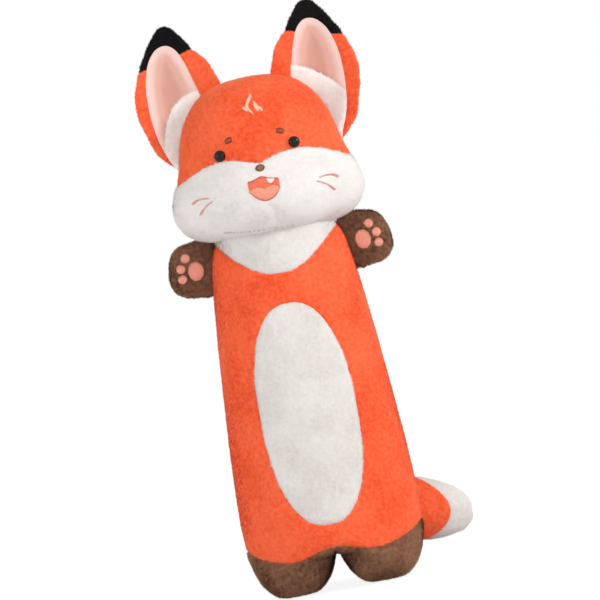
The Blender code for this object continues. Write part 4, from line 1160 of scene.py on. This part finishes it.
def make_eye(side, word, skin):
    """A domed black eye on its post."""
    place, normal = on_skin((side * EYE_SPREAD, EYE_LEVEL), skin)
    turn = normal.to_track_quat("Z", "X").to_matrix().to_4x4()
    deselected()
    middle = (0, 0, -POST_LENGTH / 2)
    bpy.ops.mesh.primitive_cylinder_add(vertices=24, radius=POST_RADIUS, depth=POST_LENGTH, location=middle)
    post = bpy.context.object
    deselected()
    flat = (1, 1, EYE_FLATNESS)
    bpy.ops.mesh.primitive_uv_sphere_add(segments=48, ring_count=24, radius=EYE_RADIUS, scale=flat)
    eye = bpy.context.object
    post.select_set(True)
    eye.select_set(True)
    bpy.ops.object.join()
    eye.name = f"{word}_eye_dome"
    eye.matrix_world = Matrix.Translation(place + normal * EYE_STAND) @ turn @ eye.matrix_world
    bpy.ops.object.transform_apply(location=True, rotation=True, scale=True)
    eye.data.shade_smooth()
    handed_over(eye, EYE_BLACK.material, "head", [f"{word}_eye"])


make_head()


# Ears

EAR_INNER, EAR_OUTER = 35.5 * MM, 138.5 * MM
TIP_INNER, TIP_OUTER = 677.4 * MM, 651.2 * MM
LINING = smooth_line([
    (59, 600), (60, 618), (64.5, 638), (70.5, 658), (77.6, 673.5), (88, 681.5), (101, 679),
    (112.5, 665.7), (120, 643.5), (122.5, 618.5), (121.5, 591), (116.4, 562), (108, 540),
    (102, 520), (84, 505), (66, 520), (60, 560),
], closed=True)
WIDE_FLUFF = smooth_line([
    (46, 626), (60, 628), (76, 622), (92, 611), (107, 597), (118, 583), (124, 560), (112, 530),
    (100, 510), (84, 501), (60, 510), (46, 560),
], closed=True)
NARROW_FLUFF = smooth_line([
    (46, 612), (60, 621), (71, 620), (83, 614), (94, 605), (102, 592), (108, 575), (111, 552),
    (103, 524), (84, 506), (60, 515), (46, 560),
], closed=True)
FLUFF = {LEFT: WIDE_FLUFF, RIGHT: NARROW_FLUFF}
LINING_SHIFT = {LEFT: 5 * MM, RIGHT: 1 * MM}  # toward the head, because the two ears are turned differently
HOLLOW_DEPTH = 5.0 * MM
HOLLOW_SLOPE = 0.28
NAP_SPREAD = 1.6


def mirrored(outline, side):
    return outline * (side, 1)


def ear_nap(places):
    """Up toward the ear's point, and a little outward at its edges."""
    at = from_middle(places)
    lean = (np.abs(at[:, 0]) - (EAR_INNER + EAR_OUTER) / 2) / (EAR_OUTER - EAR_INNER)
    return unit(np.stack([np.sign(at[:, 0]) * lean * NAP_SPREAD, np.zeros(len(at)), np.ones(len(at))], 1))


# Ear lining colour: a painted highlight along the rim, giving way to painted shade deep in the hollow, with random
# blots
SATIN_PAINTED_RIM_HIGHLIGHT, SATIN_PAINTED_SHADE, SATIN_DEEPEST_PAINTED_SHADE = "F0CFC6", "DFAC9C", "D19988"
TO_PAINTED_SHADE, TO_DEEPEST_PAINTED_SHADE = (0.0, 0.5), (0.55, 1.0)
SATIN_BLOT, SATIN_BLOT_SHARE = 30 * MM, 0.35
RUMPLE_SIZE, GRAIN_SIZE, GRAIN_SHARE, RUMPLE_DEPTH, RUMPLE_STRENGTH = 10 * MM, 0.8 * MM, 0.08, 1.2 * MM, 0.4

SATIN = Finish("ear_satin", Roughness=0.45, Sheen_Weight=0.3, Specular_IOR_Level=0.35)
# How far the painted shade has come, from the rim's painted highlight (0) to the hollow (1), read from the
# lining's depth attribute, plus random blots
SHADE_SHARE = Value(SATIN, SATIN.node("ShaderNodeAttribute", {"attribute_name": "depth"}).outputs["Fac"])
SHADE_SHARE = SHADE_SHARE + (SATIN.noise(SATIN_BLOT) - 0.5) * SATIN_BLOT_SHARE
DEEPEST_SHADE_SHARE = SATIN.eased(SHADE_SHARE, *TO_DEEPEST_PAINTED_SHADE)
HIGHLIGHT_TO_SHADE = SATIN.mixed(SATIN.eased(SHADE_SHARE, *TO_PAINTED_SHADE), linear(SATIN_PAINTED_RIM_HIGHLIGHT), linear(SATIN_PAINTED_SHADE))
SATIN.colour(SATIN.mixed(DEEPEST_SHADE_SHARE, HIGHLIGHT_TO_SHADE, linear(SATIN_DEEPEST_PAINTED_SHADE)))
RUMPLES = SATIN.noise(RUMPLE_SIZE, 3.0) + SATIN.noise(GRAIN_SIZE) * GRAIN_SHARE
SATIN.bump(RUMPLES, RUMPLE_DEPTH, RUMPLE_STRENGTH)

# How far in from the lining's rim its painted shade is full
FULL_SHADE_AT = 26 * MM
EAR_ROOT = 20 * MM
ROOT_FACE = 7 * MM
TURNED_FORWARD = 0.05
ROOT_BACK, LOW_ROOT_BACK = 3 * MM, -1.5 * MM
LOW_ROOT, HIGH_ROOT = 545 * MM, 558 * MM
EAR_TUCK = 9 * MM


def make_ear(side, word):
    """One ear: furry back and point, smooth lining with a painted highlight at its rim and painted shade in its
    hollow, and the white pile low in it.
    """
    parts = [f"{word}_ear_{piece}" for piece in ("back", "tip", "lining", "fluff")]
    form = soft_form(f"{word}_ear_form", parts[:3], EAR_GRAIN, EAR_RELAX, trued=True)
    lining = mirrored(LINING - (LINING_SHIFT[side], 0), side)
    fluff = mirrored(FLUFF[side], side)
    fold = JOINTS[f"{word}_ear_fold"]
    out_of_head = np.array((fold["axis"][2] * side, 0, abs(fold["axis"][0])))
    way = normals_of(form.data)
    tree = tree_of(corners_of(form.data))

    def above_root(places):
        return (places - np.array(fold["pos_m"])) @ out_of_head

    def facing(places):
        turned = np.array([way[tree.find(place)[1]][1] < -TURNED_FORWARD for place in places])
        raised = eased((from_middle(places)[:, 2] - LOW_ROOT) / (HIGH_ROOT - LOW_ROOT))
        back = LOW_ROOT_BACK + (ROOT_BACK - LOW_ROOT_BACK) * raised
        return turned | (above_root(places) < ROOT_FACE) & (behind_by(places) < back)

    def lined(places):
        return facing(places) & (outside(lining, places) < ON_LINE)

    def above_tip_line(places):
        at = from_middle(places)
        share = (np.abs(at[:, 0]) - EAR_INNER) / (EAR_OUTER - EAR_INNER)
        return at[:, 2] - (TIP_INNER + (TIP_OUTER - TIP_INNER) * share)

    def hollowed(places, normals):
        inside = np.maximum(-outside(lining, places), 0) * facing(places)
        depth = HOLLOW_DEPTH * np.tanh(inside * HOLLOW_SLOPE / HOLLOW_DEPTH)
        rooted = eased(1 - above_root(places) / EAR_ROOT)
        return places - normals * depth[:, None] - np.outer(rooted * EAR_TUCK, out_of_head)

    seams = [
        (lambda p: outside(lining, p), facing),
        (above_tip_line, everywhere),
        (lambda p: outside(fluff, p), lined),
    ]

    def panel_names(places):
        names = np.where(above_tip_line(places) > 0, parts[1], parts[0]).astype(object)
        within = facing(places) & (outside(lining, places) < 0)
        names[within] = parts[2]
        names[within & (outside(fluff, places) < 0)] = parts[3]
        return list(names)

    panels = panelled(form, seams, panel_names, depth=EAR_SEAM_DEPTH, shaped=hollowed)
    body = f"{word}_ear"
    furs = ((parts[0], ORANGE_FUR, parts[:1]), (parts[1], BLACK_FUR, parts[1:2]), (parts[3], EAR_FUR, []))
    for step, (name, fur, stood) in enumerate(furs):
        plush_piece(plush_name(name), panels[name], fur, body, stood, 3 * step, ear_nap)
    satin_mesh = panels[parts[2]]
    # The lining's depth attribute, how far in from its rim, sets where its painted highlight gives way to painted
    # shade
    depth = satin_mesh.attributes.new("depth", "FLOAT", "POINT")
    inside = -outside(lining, corners_of(satin_mesh))
    depth.data.foreach_set("value", eased(inside / FULL_SHADE_AT).astype(np.float32))
    satin = sewn_cloth(f"{word}_ear_satin", satin_mesh)
    handed_over(satin, SATIN.material, body, [parts[2]])


for ear_side, ear_word in SIDES:
    make_ear(ear_side, ear_word)


# Arms


ARM_ROOT = 112 * MM
ARM_SLOPE = 26 * MM
ARM_TUCK = 9.5 * MM
ARM_WIDEN = 8.5 * MM
ARM_RAISE = 8 * MM
ARM_LEVEL = 408 * MM
ARM_EASING = 16 * MM
ARM_NAP_FALL = 0.3
PAD_HEADING = math.radians(75)
PAD_PIECES = ("palm_pad", "upper_toe_pad", "middle_toe_pad", "lower_toe_pad")


def outward_nap(places):
    count = len(places)
    return np.stack([np.sign(leftward(places)), np.zeros(count), np.full(count, -ARM_NAP_FALL)], 1)


def tucked(places, normals):
    """Draws the arm's root in against the body and widens it up and down."""
    share = eased((ARM_ROOT - np.abs(leftward(places))) / ARM_SLOPE)
    below = (ARM_LEVEL - places[:, 2]) / ARM_EASING
    inward = -np.sign(leftward(places)) * share * ARM_TUCK
    spread = share * (ARM_RAISE * eased(-below) - ARM_WIDEN * eased(below))
    return places + np.column_stack([inward, np.zeros(len(places)), spread])


def make_arm(side, word):
    """One arm: a front and a back, sewn together round the edge, and its stitched pads."""
    nodes = [f"{word}_arm_cover", f"{word}_arm_stuffing"]
    form = soft_form(f"{word}_arm_form", nodes, LIMB_GRAIN, ARM_RELAX, trued=True)
    filled(form, lambda p: np.abs(leftward(p)) < ARM_HELD, LIMB_PUFF)

    def panel_names(places):
        return list(np.where(in_front(places), f"{word}_arm_front", f"{word}_arm_back"))

    panels = panelled(form, [(behind_by, everywhere)], panel_names, depth=LIMB_SEAM_DEPTH, shaped=tucked)
    skin = skin_tree(panels[f"{word}_arm_front"])
    pads = {f"{word}_{piece}": drawn_outline(f"{word}_{piece}") for piece in PAD_PIECES}
    bare = covered_by(pads.values())
    body = f"{word}_arm"
    for step, (half, stood) in enumerate((("front", "cover"), ("back", "stuffing"))):
        name = f"{body}_{half}"
        plush_piece(name, panels[name], BROWN_FUR, body, [f"{body}_{stood}"], 3 * step, outward_nap, bare)
    for node, outline in pads.items():
        threads = filling_threads(outline, PAD_HEADING * side)
        sewn_threads(f"{node}_stitches", threads, skin, PAD, "pad_plush", body, [node])
        sewn_threads(f"{node}_edging", edging_threads(outline), skin, PAD_EDGE, "pad_plush", body)


for arm_side, arm_word in SIDES:
    make_arm(arm_side, arm_word)


# Tail

TAIL_ROOT = Vector(JOINTS["tail_swing"]["pos_m"])
TAIL_TURN = math.radians(28)
TAIL_WAY = Vector((math.cos(TAIL_TURN), math.sin(TAIL_TURN), 0))
TAIL_ASIDE = Vector((-TAIL_WAY.y, TAIL_WAY.x, 0))
TAIL_WHITE_FROM = 145.64 * MM
TAIL_BULGE, TAIL_BULGE_SIZE = 0.35, 20 * MM
TAIL_SAG = 0.22
TAIL_DROOP = 9 * MM
TAIL_DROOP_BY = 50 * MM


def tail_nap(places):
    return np.broadcast_to(np.array((*TAIL_WAY.xy, -TAIL_SAG)), places.shape)


def make_tail():
    """The tail's orange base and white point, each of two halves that are sewn above and below."""
    nodes = ["tail_base_cover", "tail_tip_cover", "tail_stuffing"]
    form = soft_form("tail_form", nodes, LIMB_GRAIN, TAIL_RELAX)

    def along_tail(places):
        return (places - np.array(TAIL_ROOT)) @ np.array(TAIL_WAY)

    filled(form, lambda p: along_tail(p) < TAIL_HELD, LIMB_PUFF)

    def beside_tail(places):
        return (places - np.array(TAIL_ROOT)) @ np.array(TAIL_ASIDE)

    def past_colour_line(places):
        rise = places[:, 2] - TAIL_ROOT.z + TAIL_DROOP + TAIL_SAG * along_tail(places)
        return along_tail(places) - TAIL_WHITE_FROM + TAIL_BULGE * rise**2 / TAIL_BULGE_SIZE

    def drooped(places, normals):
        drop = TAIL_DROOP * eased(along_tail(places) / TAIL_DROOP_BY)
        return places - np.outer(drop, (0, 0, 1))

    def panel_names(places):
        part = np.where(past_colour_line(places) > 0, "tail_tip", "tail_base").astype(object)
        return list(part + np.where(beside_tail(places) > 0, "_inner", "_outer").astype(object))

    seams = [(beside_tail, everywhere), (past_colour_line, everywhere)]
    panels = panelled(form, seams, panel_names, depth=LIMB_SEAM_DEPTH, shaped=drooped)
    covers = {"tail_base_inner": "tail_base_cover", "tail_tip_inner": "tail_tip_cover"}
    for step, (name, mesh) in enumerate(sorted(panels.items())):
        fur = WHITE_FUR if name.startswith("tail_tip") else ORANGE_FUR
        stood = [covers.get(name, "tail_stuffing")]
        plush_piece(plush_name(name), mesh, fur, "tail", stood, 3 * step, tail_nap)


make_tail()


# Stage

VIEW_DISTANCE = 5.0
VIEW_SPAN = 0.7255
VIEW_CENTRE = (13.3 * MM, 0, 349.6 * MM)
VIEW_AZIMUTH = math.radians(2.2)
VIEW_ELEVATION = math.radians(2.0)
VIEW_ROLL = math.radians(11.0)
FLOOR_SIZE, FLOOR_LEVEL = 60, -1 * MM
FLOOR_COLOUR = (0.88, 0.88, 0.88, 1)
FLOOR_GLOW, FLOOR_GLOW_SHARE = 1.22, 0.72
SKY_STRENGTH = 0.70
LAMPS = {  # place, size, power
    "key": ((2.5, -1.15, 1.55), 0.6, 34),
    "fill": ((-1.8, -1.5, 0.8), 1.4, 11),
    "front": ((0.9, -2.8, 1.3), 0.5, 7.5),
}


def make_camera():
    """The camera at the photograph's angle: a little to the toy's left, and rolled."""
    level, raised = math.cos(VIEW_ELEVATION), math.sin(VIEW_ELEVATION)
    back = Vector((math.sin(VIEW_AZIMUTH) * level, -math.cos(VIEW_AZIMUTH) * level, raised))
    up = Vector((math.sin(VIEW_ROLL), 0, math.cos(VIEW_ROLL)))
    up = (up - back * up.dot(back)).normalized()
    data = bpy.data.cameras.new("camera")
    data.lens = data.sensor_width * VIEW_DISTANCE / VIEW_SPAN
    camera = made_object("camera", data)
    turn = Matrix((up.cross(back), up, back)).transposed().to_4x4()
    camera.matrix_world = Matrix.Translation(MIDDLE + Vector(VIEW_CENTRE) + back * VIEW_DISTANCE) @ turn
    bpy.context.scene.camera = camera


def make_lamp(name, place, size, power):
    """A soft square lamp that faces the toy."""
    data = bpy.data.lights.new(name, "AREA")
    data.size = size
    data.energy = power
    lamp = made_object(name, data)
    aim = MIDDLE + Vector(VIEW_CENTRE) - Vector(place)
    lamp.matrix_world = Matrix.Translation(place) @ aim.to_track_quat("-Z", "Y").to_matrix().to_4x4()


def seen_directly(nodes):
    """1 for the camera's own rays, and for what is seen in a shiny surface or through a clear one, else 0."""
    path = nodes.node("ShaderNodeLightPath").outputs
    seen = nodes.maths("MAXIMUM", path["Is Camera Ray"], path["Is Glossy Ray"])
    return nodes.maths("MAXIMUM", seen, path["Is Transmission Ray"])


def make_stage():
    """A pale floor that keeps the toy's shadow, and white surroundings, both white to the camera."""
    deselected()
    bpy.ops.mesh.primitive_plane_add(size=FLOOR_SIZE, location=(0, 0, FLOOR_LEVEL))
    floor = bpy.context.object
    floor.name = "floor"
    made = Finish("floor", Roughness=0.9)
    made.colour(FLOOR_COLOUR)
    glow = made.node("ShaderNodeEmission", None, {"Strength": FLOOR_GLOW})
    seen = seen_directly(made) * FLOOR_GLOW_SHARE
    blend = made.node("ShaderNodeMixShader", None, {0: seen, 1: made.shader.outputs[0], 2: glow.outputs[0]})
    made.feed(made.tree.nodes["Material Output"].inputs["Surface"], blend.outputs[0])
    floor.data.materials.append(made.material)

    world = bpy.data.worlds.new("surroundings")
    bpy.context.scene.world = world
    world.use_nodes = True
    sky = Nodes(world.node_tree)
    lighting, shown = sky.tree.nodes["Background"], sky.node("ShaderNodeBackground")
    for background, strength in ((lighting, SKY_STRENGTH), (shown, 1.0)):
        sky.feed(background.inputs["Color"], (1, 1, 1, 1))
        sky.feed(background.inputs["Strength"], strength)
    sources = {0: seen_directly(sky), 1: lighting.outputs[0], 2: shown.outputs[0]}
    blend = sky.node("ShaderNodeMixShader", None, sources)
    sky.feed(sky.tree.nodes["World Output"].inputs["Surface"], blend.outputs[0])

    for name, (place, size, power) in LAMPS.items():
        make_lamp(name, place, size, power)


make_camera()
make_stage()
bpy.context.scene.view_settings.view_transform = "Standard"
